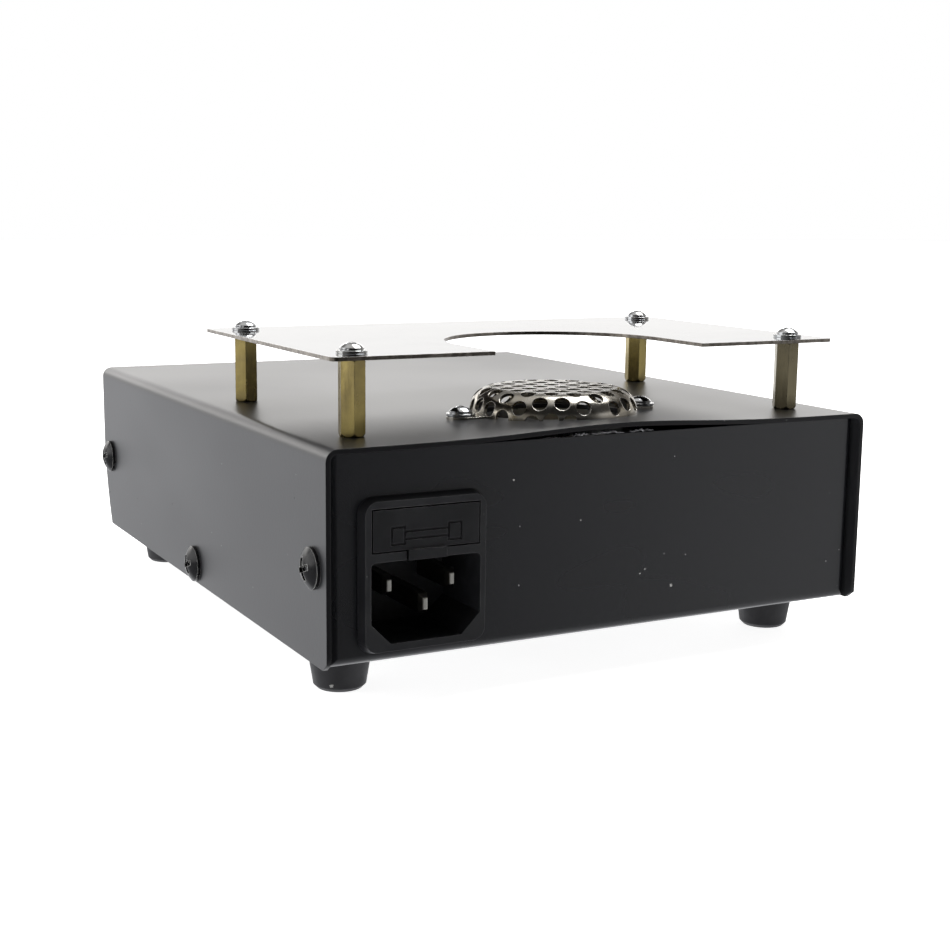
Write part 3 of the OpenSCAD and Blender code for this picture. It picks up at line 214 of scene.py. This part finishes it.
def metal(name, base, worn, rough, brush=(1, 1, 1), scratch=0.00001, tint=None, edge_tone=None,
          round_to=0.00025, painted_tip_highlight=None):
    """Bare metal: brushed or plain, cloudy tarnish, fine scratches, brighter edges, and a tip painted bright
    as a highlight.
    """
    m, t, p = material(name)
    at = place(t)
    lines = noise(t, place(t, brush), 900, 3, 0.6)
    cloud = noise(t, at, 90, 5, 0.6, 0.3)
    tone = blend(t, span(t, cloud, 0.35, 0.72), base, worn)
    if tint is not None:
        patch = noise(t, place(t, (1, 1, 1), (0.31, 0.17, 0)), 55, 4, 0.6, 0.6)
        tone = blend(t, span(t, patch, 0.42, 0.68, 0.0, 0.85), tone, tint)
    normal, edge = soft_edges(t, round_to)
    if edge_tone is not None:
        tone = blend(t, maths(t, "MULTIPLY", edge, 0.8), tone, edge_tone)
    # Painted highlight: past a given Y the tip is coloured near-white.
    if painted_tip_highlight is not None:
        from_y, tip_highlight_tone = painted_tip_highlight
        where = add(t, "ShaderNodeSeparateXYZ")
        t.links.new(at, where.inputs["Vector"])
        tone = blend(t, span(t, where.outputs["Y"], from_y, from_y + 0.0001), tone, tip_highlight_tone)
    put(t, p.inputs["Base Color"], tone)
    p.inputs["Metallic"].default_value = 1.0
    brushed = span(t, lines, 0.3, 0.7, -0.04, 0.05)
    wear = maths(t, "ADD", brushed, span(t, cloud, 0.3, 0.7, -0.03, 0.06))
    put(t, p.inputs["Roughness"], maths(t, "ADD", wear, rough))
    put(t, p.inputs["Normal"], bump(t, lines, scratch, 0.6, normal))
    return m


def plastic(name, base, lift, rough, grain=900, depth=0.00002, dust=0.35, round_to=0.00025, shine=0.5,
            edge_wear_and_painted_highlight=None, marks=()):
    """Moulded plastic or rubber: fine spark texture, uneven gloss, dust in it and paler edges that are
    rubbed wear with a painted edge highlight.
    """
    m, t, p = material(name)
    at = place(t)
    cloud = noise(t, at, 120, 4)
    tone = blend(t, span(t, cloud, 0.35, 0.7), base, lift)
    normal, edge = soft_edges(t, round_to)
    # Paler edges: rubbed wear together with a painted edge highlight.
    pale = edge_wear_and_painted_highlight or tuple(min(1, c * 1.8 + 0.012) for c in lift[:3]) + (1,)
    tone = blend(t, maths(t, "MULTIPLY", edge, 0.5), tone, pale)
    spots = specks(t, at, 700, 0.04, 0.11)
    tone = blend(t, maths(t, "MULTIPLY", spots, dust), tone, fluff_tone)
    put(t, p.inputs["Base Color"], nicked(t, tone, marks))
    gloss = span(t, noise(t, at, 300, 4), 0.3, 0.7, rough - 0.05, rough + 0.07)
    put(t, p.inputs["Roughness"], gloss)
    p.inputs["Specular IOR Level"].default_value = shine
    put(t, p.inputs["Normal"], bump(t, noise(t, at, grain, 2), depth, 0.6, normal))
    return m


def plate_metal():
    """Thin bright plate: fine brushing along X, raw brown-grey cut edges, underside stained by hot air."""
    m, t, p = material("plate_bright_steel")
    at = place(t)
    lines = noise(t, place(t, (0.03, 1, 1)), 1800, 3, 0.6)
    film = noise(t, at, 30, 4, 0.6, 0.5)
    tone = blend(t, span(t, film, 0.35, 0.7), (0.50, 0.515, 0.54, 1), (0.44, 0.455, 0.48, 1))
    facing_up = normal_axes(t)["Z"]
    upright = span(t, maths(t, "ABSOLUTE", facing_up), 0.7, 0.4)
    ragged = span(t, noise(t, at, 700, 3), 0.35, 0.7)
    burr = blend(t, ragged, (0.17, 0.15, 0.13, 1), (0.34, 0.31, 0.27, 1))
    tone = blend(t, upright, tone, burr)
    below = span(t, facing_up, -0.6, -0.9)
    stain = blend(t, span(t, film, 0.35, 0.7), (0.15, 0.135, 0.115, 1), (0.20, 0.185, 0.165, 1))
    tone = blend(t, below, tone, stain)
    spots = specks(t, at, 160, 0.06, 0.05)
    tone = blend(t, maths(t, "MULTIPLY", spots, 0.4), tone, (0.25, 0.24, 0.22, 1))
    put(t, p.inputs["Base Color"], tone)
    p.inputs["Metallic"].default_value = 1.0
    gloss = maths(t, "ADD", span(t, lines, 0.3, 0.7, 0.03, 0.06), maths(t, "MULTIPLY", upright, 0.25))
    put(t, p.inputs["Roughness"], maths(t, "ADD", gloss, span(t, film, 0.35, 0.75, 0.0, 0.02)))
    normal, _ = soft_edges(t, 0.0002)
    put(t, p.inputs["Normal"], bump(t, lines, 0.000004, 0.5, normal))
    return m


def clear_glass():
    """Clear tube glass with faint waves."""
    m, t, p = material("fuse_clear_glass")
    at = place(t)
    put(t, p.inputs["Roughness"], span(t, noise(t, at, 400, 3), 0.3, 0.7, 0.02, 0.10))
    p.inputs["Base Color"].default_value = (0.92, 0.96, 0.96, 1)
    p.inputs["Transmission Weight"].default_value = 0.9
    p.inputs["IOR"].default_value = 1.5
    put(t, p.inputs["Normal"], bump(t, noise(t, at, 700, 2), 0.000004, 0.4))
    return m


def rgba(r, g, b):
    """Opaque colour."""
    return (r, g, b, 1)


# Chips that the photo shows: place and radius
panel_nicks = [((-0.0156, 0.0858, 0.0178), 0.00038), ((0.0247, 0.0858, 0.0443), 0.00022),
               ((0.0083, 0.0858, 0.0345), 0.00018), ((-0.0072, 0.0858, 0.0213), 0.0002),
               ((-0.0085, 0.0858, 0.0222), 0.00018)]
foot_nicks = [((0.0597, 0.0727, 0.0016), 0.0004)]
bezel_nicks = [((0.0588, 0.0876, 0.0262), 0.0002), ((0.0586, 0.0878, 0.0235), 0.00018)]

# The cover's rear-facing faces are toned near-black as painted shade; both coats' paler edges are rubbed
# wear with a painted edge highlight.
coat = powder_coat("cover_powder_coat", rgba(0.018, 0.0185, 0.021), rgba(0.022, 0.0225, 0.025), 0.37,
                   edge_wear_and_painted_highlight=rgba(0.020, 0.0205, 0.023), painted_rear_shade=rgba(0.002, 0.002, 0.003))
tray_coat = powder_coat("tray_powder_coat", rgba(0.0028, 0.003, 0.0045), rgba(0.0045, 0.0048, 0.0065),
                        0.27, edge_wear_and_painted_highlight=rgba(0.045, 0.046, 0.05), shine=1.0, marks=panel_nicks)
# Near-white tone on the screw heads' rims and recess edges: a painted highlight.
black_screw = plastic("blackened_screw", rgba(0.006, 0.006, 0.007), rgba(0.011, 0.011, 0.012), 0.24,
                      grain=700, depth=0.00001, edge_wear_and_painted_highlight=rgba(0.85, 0.85, 0.83), round_to=0.00022, shine=0.24)
chrome = metal("plated_screw", rgba(0.44, 0.45, 0.465), rgba(0.36, 0.365, 0.375), 0.08, scratch=0.000003,
               tint=rgba(0.32, 0.31, 0.29), edge_tone=rgba(0.60, 0.61, 0.62))
rubber = plastic("foot_rubber", rgba(0.021, 0.021, 0.024), rgba(0.032, 0.032, 0.036), 0.55, grain=1100,
                 depth=0.00004, marks=foot_nicks)
plate = plate_metal()
brass = metal("aged_brass", rgba(0.42, 0.335, 0.125), rgba(0.32, 0.25, 0.09), 0.20, brush=(1, 1, 0.06),
              scratch=0.000010, tint=rgba(0.24, 0.19, 0.09), edge_tone=rgba(0.55, 0.46, 0.22),
              round_to=0.0002)
dull_brass = metal("dull_brass", rgba(0.30, 0.26, 0.165), rgba(0.22, 0.19, 0.12), 0.22,
                   brush=(1, 1, 0.06), scratch=0.000010, tint=rgba(0.20, 0.175, 0.115),
                   edge_tone=rgba(0.42, 0.38, 0.28), round_to=0.0002)
dome_steel = metal("dome_heat_tinted_steel", rgba(0.43, 0.415, 0.385), rgba(0.32, 0.305, 0.275), 0.18,
                   scratch=0.00001, tint=rgba(0.24, 0.21, 0.155), edge_tone=rgba(0.62, 0.60, 0.56))
# The bezel's edges and the drawer's edges and pictogram groove edges are paler: painted highlights.
inlet_black = plastic("inlet_moulding", rgba(0.012, 0.0124, 0.0145), rgba(0.016, 0.0164, 0.0185), 0.40,
                      grain=1500, depth=0.000018, shine=0.38, edge_wear_and_painted_highlight=rgba(0.10, 0.10, 0.105),
                      marks=bezel_nicks)
drawer_black = plastic("drawer_moulding", rgba(0.007, 0.0072, 0.0085), rgba(0.011, 0.0112, 0.013), 0.38,
                       grain=1500, depth=0.000014, shine=0.42, edge_wear_and_painted_highlight=rgba(0.045, 0.045, 0.05))
nickel = metal("nickel_contact", rgba(0.66, 0.63, 0.55), rgba(0.54, 0.50, 0.42), 0.20,
               brush=(1, 0.08, 1))
# The pins' tips are coloured near-white past a given Y: a painted highlight.
pin_nickel, earth_nickel = (
    metal(f"{name}_nickel", rgba(0.20, 0.19, 0.17), rgba(0.14, 0.13, 0.115), 0.34, brush=(1, 0.08, 1),
          painted_tip_highlight=(tip_y, rgba(1.0, 0.98, 0.90)))
    for name, tip_y in (("pin", 0.08525), ("earth_pin", 0.08735)))
glass = clear_glass()
fan_black = plastic("fan_moulding", rgba(0.02, 0.02, 0.022), rgba(0.032, 0.033, 0.035), 0.48)
bronze = metal("sintered_bronze", rgba(0.45, 0.30, 0.13), rgba(0.34, 0.22, 0.09), 0.42, scratch=0.00002)
plain_steel = metal("plain_steel", rgba(0.52, 0.53, 0.54), rgba(0.40, 0.405, 0.41), 0.28,
                    brush=(1, 1, 0.1), scratch=0.00001)
mica = plastic("mica_sheet", rgba(0.46, 0.38, 0.22), rgba(0.62, 0.53, 0.34), 0.40, grain=500,
               depth=0.00003)
oxide_wire = metal("heating_wire", rgba(0.22, 0.18, 0.15), rgba(0.33, 0.27, 0.21), 0.45, scratch=0.00002)
white_bead = plastic("bead_ceramic", rgba(0.72, 0.69, 0.60), rgba(0.80, 0.77, 0.70), 0.5, grain=1300,
                     depth=0.00003, dust=0.1)
board_mask = plastic("board_solder_mask", rgba(0.02, 0.12, 0.04), rgba(0.03, 0.17, 0.06), 0.3, grain=500,
                     depth=0.00003)
core_steel = metal("laminated_core", rgba(0.16, 0.16, 0.17), rgba(0.24, 0.24, 0.25), 0.42,
                   brush=(1, 20, 1), scratch=0.00004)
tape = plastic("winding_tape", rgba(0.50, 0.33, 0.06), rgba(0.62, 0.44, 0.10), 0.34, grain=260,
               depth=0.00005)
sink_black = metal("anodised_sink", rgba(0.035, 0.036, 0.04), rgba(0.06, 0.06, 0.065), 0.38,
                   brush=(1, 1, 0.05), scratch=0.00001)
triac_black = plastic("triac_moulding", rgba(0.016, 0.016, 0.018), rgba(0.026, 0.026, 0.028), 0.45)
sleeve_blue = plastic("capacitor_sleeve", rgba(0.02, 0.04, 0.10), rgba(0.03, 0.055, 0.13), 0.28)
block_green = plastic("block_moulding", rgba(0.02, 0.16, 0.05), rgba(0.03, 0.21, 0.075), 0.42)
switch_black = plastic("switch_moulding", rgba(0.013, 0.013, 0.014), rgba(0.02, 0.02, 0.021), 0.34)
rocker_black = plastic("rocker_moulding", rgba(0.009, 0.009, 0.010), rgba(0.014, 0.014, 0.015), 0.22,
                       grain=700, depth=0.000008)
lamp_red = plastic("lamp_lens_red", rgba(0.42, 0.015, 0.01), rgba(0.55, 0.03, 0.02), 0.16, grain=400,
                   depth=0.00001, dust=0.15)
knob_black = plastic("knob_moulding", rgba(0.013, 0.013, 0.014), rgba(0.022, 0.022, 0.023), 0.45,
                     grain=1200, depth=0.00002)
wire_brown = plastic("wire_brown", rgba(0.16, 0.045, 0.02), rgba(0.21, 0.065, 0.03), 0.38)
wire_green = plastic("wire_green", rgba(0.05, 0.22, 0.03), rgba(0.10, 0.30, 0.04), 0.38)
wire_braid = plastic("wire_braid", rgba(0.55, 0.52, 0.43), rgba(0.68, 0.65, 0.55), 0.7, grain=1600,
                     depth=0.00008)
wire_blue = plastic("wire_blue", rgba(0.02, 0.06, 0.22), rgba(0.03, 0.085, 0.28), 0.38)

# Each finish with the nodes that wear it
dress = {
    coat: ["cover"],
    tray_coat: ["base_chassis"],
    black_screw: ["cover_screws"],
    chrome: ["plate_screws", "dome_screws", "foot_screws"],
    rubber: ["foot_rear_left", "foot_rear_right", "foot_front_left", "foot_front_right"],
    plate: ["work_plate"],
    brass: ["standoff_rear_right", "standoff_front_left", "standoff_front_right", "board_spacers"],
    dull_brass: ["standoff_rear_left"],
    dome_steel: ["air_dome"],
    inlet_black: ["inlet_housing"],
    drawer_black: ["fuse_drawer"],
    nickel: ["fuse_caps", "fuse_terminals", "switch_terminals"],
    pin_nickel: ["inlet_pin_live", "inlet_pin_neutral"],
    earth_nickel: ["inlet_pin_earth"],
    glass: ["fuse_glass"],
    fan_black: ["fan_frame", "fan_impeller"],
    bronze: ["fan_bearing"],
    plain_steel: ["foot_nuts", "standoff_nuts", "dome_nuts", "fan_shaft", "fan_screws", "heater_sleeve",
                  "thermocouple", "board_screws", "pot_body", "pot_shaft", "pot_nut", "earth_screw"],
    mica: ["heater_former"],
    oxide_wire: ["heater_coil"],
    white_bead: ["heater_beads"],
    board_mask: ["control_board"],
    core_steel: ["transformer_core"],
    tape: ["transformer_coil"],
    sink_black: ["heat_sink"],
    triac_black: ["triac"],
    sleeve_blue: ["capacitor"],
    block_green: ["terminal_block"],
    switch_black: ["switch_body", "lamp_holder"],
    rocker_black: ["switch_rocker"],
    lamp_red: ["lamp_lens"],
    knob_black: ["temperature_knob"],
    wire_brown: ["supply_wires"],
    wire_green: ["earth_wire"],
    wire_braid: ["heater_wires"],
    wire_blue: ["signal_wires"],
}
for finish, members in dress.items():
    for n in members:
        nodes[n].data.materials.clear()
        nodes[n].data.materials.append(finish)


# Cover with the bowed rear edge, in place of the flat one

def cover_mesh():
    """Outer skin of the cover: a folded sheet whose top bows up a little at the middle of its rear edge."""
    half_w, low, top, bend = 0.067, 0.0095, 0.0535, 0.0025
    front, rear = -0.0762, 0.0878
    curve_h, curve_r, corner_r = 0.026, 0.0642, 0.002
    hole_at, hole_r = Vector((0, 0.060)), 0.0165
    bow_rise, bow_x, bow_spread, bow_from, bow_power = 0.00155, -0.001, 0.027, 0.030, 1.6
    side_steps, bend_steps, half_top_steps, rows = 26, 6, 56, 118
    on_top = top - 0.0001

    profile = [(-half_w, low + (top - bend - low) * i / side_steps) for i in range(side_steps)]
    profile += [(-half_w + bend - bend * math.cos(a), top - bend + bend * math.sin(a))
                for a in (math.radians(90 / bend_steps * i) for i in range(bend_steps))]
    profile += [(-half_w + bend + (half_w - bend) * i / half_top_steps, top)
                for i in range(half_top_steps + 1)]
    profile += [(-x, z) for x, z in reversed(profile[:-1])]

    def ends(z):
        """Front and rear end of the sheet at a height: curved at the front, rounded at the lower rear."""
        h = z - low
        start = front + (curve_r - math.sqrt(curve_r ** 2 - (curve_h - h) ** 2) if h < curve_h else 0)
        stop = rear - (corner_r - math.sqrt(corner_r ** 2 - (corner_r - h) ** 2) if h < corner_r else 0)
        return start, stop

    def bow(x, y, z):
        """Rise of the top towards the middle of its rear edge."""
        across = math.exp(-((x - bow_x) / bow_spread) ** 2)
        along = min(1, max(0, (y - bow_from) / (rear - bow_from)))
        return bow_rise * across * along ** bow_power if z > on_top else 0

    bm = bmesh.new()
    grid = []
    for x, z in profile:
        start, stop = ends(z)
        ys = [start + (stop - start) * j / rows for j in range(rows + 1)]
        grid.append([bm.verts.new((x, y, z + bow(x, y, z))) for y in ys])
    for a, b in zip(grid, grid[1:]):
        for j in range(rows):
            quad = (a[j], a[j + 1], b[j + 1], b[j])
            if not all(v.co.z > on_top and (v.co.xy - hole_at).length < hole_r for v in quad):
                bm.faces.new(quad)
    bmesh.ops.delete(bm, geom=[v for v in bm.verts if not v.link_faces], context="VERTS")
    for v in bm.verts:
        off = v.co.xy - hole_at
        if v.is_boundary and v.co.z > on_top and off.length < hole_r + 0.002:
            v.co.xy = hole_at + off.normalized() * hole_r
    bmesh.ops.recalc_face_normals(bm, faces=bm.faces)
    if sum(f.normal.z for f in bm.faces) < 0:
        bmesh.ops.reverse_faces(bm, faces=bm.faces)
    for f in bm.faces:
        f.smooth = True
    m = bpy.data.meshes.new("cover_bowed")
    bm.to_mesh(m)
    bm.free()
    return m


def piece(name, mesh, finish, body):
    """New object of the scene that rides on a body."""
    o = bpy.data.objects.new(name, mesh)
    scene.collection.objects.link(o)
    o.data.materials.append(finish)
    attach(o, body)
    return o


bowed = piece("cover_bowed", cover_mesh(), coat, "housing")
thick = bowed.modifiers.new("sheet", "SOLIDIFY")
thick.thickness = 0.001
thick.offset = -1
rolled = bowed.modifiers.new("rolled_edges", "BEVEL")
rolled.width = 0.0003
rolled.segments = 3
rolled.limit_method = "ANGLE"
rolled.angle_limit = math.radians(60)
flat = bowed.modifiers.new("flat_faces", "WEIGHTED_NORMAL")
flat.weight = 100
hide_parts("cover")


# Dried clear glue in the gap under the bowed edge

def bead_mesh(points, sides=8):
    """Uneven bead through points, each with its radius; the tube lies along X."""
    bm = bmesh.new()
    rings = []
    for x, y, z, r in points:
        turns = (2 * math.pi * k / sides for k in range(sides))
        rings.append([bm.verts.new((x, y + r * math.cos(a), z + r * math.sin(a))) for a in turns])
    for a, b in zip(rings, rings[1:]):
        for k in range(sides):
            bm.faces.new((a[k], a[(k + 1) % sides], b[(k + 1) % sides], b[k])).smooth = True
    bm.faces.new(rings[0])
    bm.faces.new(reversed(rings[-1]))
    bmesh.ops.recalc_face_normals(bm, faces=bm.faces)
    m = bpy.data.meshes.new("glue_bead")
    bm.to_mesh(m)
    bm.free()
    return m


def clear_glue():
    """Dried glue: mostly clear over black, cloudy in places, glossy and wavy."""
    m, t, p = material("dried_clear_glue")
    cloud = noise(t, place(t), 700, 3)
    tone = blend(t, span(t, cloud, 0.3, 0.7), rgba(0.02, 0.02, 0.022), rgba(0.20, 0.20, 0.21))
    put(t, p.inputs["Base Color"], tone)
    put(t, p.inputs["Roughness"], span(t, cloud, 0.3, 0.7, 0.08, 0.25))
    put(t, p.inputs["Normal"], bump(t, noise(t, place(t), 1500, 2), 0.00008, 0.6))
    return m


def glue_points(first, last, steps=22):
    """Points of a bead that lies on the rear panel's upper edge, from one X to the other."""
    panel_y, panel_top = 0.0856, 0.0524
    thinnest, swell, sway, lift = 0.00010, 0.00024, 0.0002, 0.00045
    for k in range(steps + 1):
        x = first + (last - first) * k / steps
        r = thinnest + swell * random.random() * math.sin(math.pi * k / steps)
        y = panel_y + sway * random.random()
        yield x, y, panel_top + 0.8 * r + lift * random.random(), r


glue = clear_glue()
bead_spans = [(0.0108, 0.0069), (0.0062, -0.0022), (-0.0034, -0.0096)]
for k, (first, last) in enumerate(bead_spans):
    shape = bead_mesh(list(glue_points(first, last)))
    bead = piece(f"glue_bead_{k + 1}", shape, glue, "housing")
    bead.modifiers.new("smooth", "SUBSURF").levels = 1


# Camera at the photograph's viewing angle

azimuth, elevation, roll = (math.radians(a) for a in (151.74, 9.96, 0.66))
level_share = math.cos(elevation)
back = Vector((math.sin(azimuth) * level_share, -math.cos(azimuth) * level_share, math.sin(elevation)))
right = (-back).cross(Vector((0, 0, 1))).normalized()
up = right.cross(-back)
right, up = right * math.cos(roll) + up * math.sin(roll), up * math.cos(roll) - right * math.sin(roll)
pose = Matrix((right, up, back)).transposed().to_4x4()
pose.translation = Vector((0.17554, 0.34962, 0.09860))
lens = bpy.data.cameras.new("camera")
lens.lens = 57.14
lens.sensor_width = 36.0
lens.clip_start = 0.01
camera = bpy.data.objects.new("camera", lens)
camera.matrix_world = pose
scene.collection.objects.link(camera)
scene.camera = camera


# Studio: white world that is dim on the camera's side, pale floor, soft lights

scene.view_settings.view_transform = "Standard"
world = bpy.data.worlds.new("studio")
world.use_nodes = True
scene.world = world
wt = world.node_tree
wt.nodes.clear()
direction = add(wt, "ShaderNodeTexCoord")
axes = add(wt, "ShaderNodeSeparateXYZ")
wt.links.new(direction.outputs["Generated"], axes.inputs["Vector"])
# Brightness of the studio's walls by compass angle in degrees: bright behind the part, dark round the camera
walls = [(-180, 0.36), (-152, 0.90), (-118, 0.92), (-75, 0.98), (-56, 0.90), (-42, 0.28), (-12, 0.36),
         (12, 0.26), (32, 0.14), (46, 0.06), (58, 0.0), (106, 0.0), (116, 0.06), (124, 0.22), (132, 0.37),
         (150, 0.39), (160, 0.42), (180, 0.36)]
compass = maths(wt, "ARCTAN2", axes.outputs["Y"], axes.outputs["X"])
angle = span(wt, compass, -math.pi, math.pi, smooth=False)
ring = add(wt, "ShaderNodeValToRGB")
put(wt, ring.inputs["Fac"], angle)
stops = ring.color_ramp.elements
for degrees, shade in walls[1:-1]:
    stops.new((degrees + 180) / 360).color = (shade, shade, shade, 1)
for stop, (_, shade) in zip((stops[0], stops[-1]), (walls[0], walls[-1])):
    stop.color = (shade, shade, shade, 1)
wall = ring.outputs["Color"]
height = axes.outputs["Z"]
# The walls dip where the plate mirrors them, brighten above that, and end in the dark below the ceiling
dip = span(wt, height, 0.0, 0.06, 1.34, 1.18)
level = maths(wt, "MULTIPLY", dip, span(wt, height, 0.09, 0.17, 1.0, 1.48))
fade = span(wt, height, 0.28, 0.40, 1.0, 0.08)
level = maths(wt, "MULTIPLY", level, fade)
back_wall = maths(wt, "MULTIPLY", wall, wall)
band = maths(wt, "MULTIPLY", span(wt, height, 0.14, 0.22, 0.0, 1.5), back_wall)
sides = maths(wt, "MULTIPLY", maths(wt, "MULTIPLY", wall, level), maths(wt, "ADD", band, 1.0))
# Faint fill all round, and a ceiling that leans away from the camera
fill = maths(wt, "MULTIPLY", span(wt, height, 0.14, 0.24, 0.0, 0.12), fade)
lean = maths(wt, "MULTIPLY", axes.outputs["Y"], 0.22)
above = span(wt, maths(wt, "SUBTRACT", height, lean), 0.78, 1.0)
glow = maths(wt, "ADD", maths(wt, "MAXIMUM", maths(wt, "MAXIMUM", sides, fill), above), 0.02)
soft = add(wt, "ShaderNodeBackground")
put(wt, soft.inputs["Strength"], glow)
tinge = blend(wt, span(wt, height, -0.05, 0.05), (0.965, 0.975, 1.0, 1), (1.0, 0.985, 0.965, 1))
put(wt, soft.inputs["Color"], tinge)
plain = add(wt, "ShaderNodeBackground")
plain.inputs["Color"].default_value = (1, 1, 1, 1)
plain.inputs["Strength"].default_value = 1.0
seen = add(wt, "ShaderNodeLightPath")
both = add(wt, "ShaderNodeMixShader")
wt.links.new(seen.outputs["Is Camera Ray"], both.inputs[0])
wt.links.new(soft.outputs[0], both.inputs[1])
wt.links.new(plain.outputs[0], both.inputs[2])
out = add(wt, "ShaderNodeOutputWorld")
wt.links.new(both.outputs[0], out.inputs["Surface"])


def area_light(name, at, towards, size, watts):
    """Soft rectangular light that the camera doesn't see."""
    data = bpy.data.lights.new(name, "AREA")
    data.shape = "RECTANGLE"
    data.size, data.size_y = size
    data.energy = watts
    lamp = bpy.data.objects.new(name, data)
    lamp.location = at
    lamp.rotation_euler = (Vector(towards) - Vector(at)).to_track_quat("-Z", "Y").to_euler()
    lamp.visible_camera = False
    scene.collection.objects.link(lamp)


area_light("overhead_softbox", (-0.45, -0.10, 0.95), (0, 0, 0.03), size=(0.6, 0.6), watts=9)
area_light("side_softbox", (0.95, -0.35, 0.45), (0, 0, 0.04), size=(0.8, 0.8), watts=4)
# Two small cards beside the part, mirrored in the standoffs' faces
area_light("rear_card", (0.25, 0.195, 0.048), (0, 0.195, 0.048), size=(0.075, 0.036), watts=0.0085)
area_light("front_card", (0.25, 0.045, 0.052), (0, 0.045, 0.052), size=(0.075, 0.036), watts=0.0050)

mesh = bpy.data.meshes.new("floor")
half = 4.0
corners = [(-half, -half, 0), (half, -half, 0), (half, half, 0), (-half, half, 0)]
mesh.from_pydata(corners, [], [(0, 1, 2, 3)])
floor = bpy.data.objects.new("floor", mesh)
scene.collection.objects.link(floor)
fm, ft, fp = material("pale_floor")
grain = noise(ft, place(ft), 60, 4)
pale = blend(ft, span(ft, grain, 0.3, 0.7), rgba(0.95, 0.95, 0.95), rgba(0.98, 0.98, 0.98))
put(ft, fp.inputs["Base Color"], pale)
fp.inputs["Roughness"].default_value = 0.8
fp.inputs["Specular IOR Level"].default_value = 0.1
fp.inputs["Emission Color"].default_value = (1, 1, 1, 1)
fp.inputs["Emission Strength"].default_value = 0.9
floor.data.materials.append(fm)
floor.visible_glossy = False
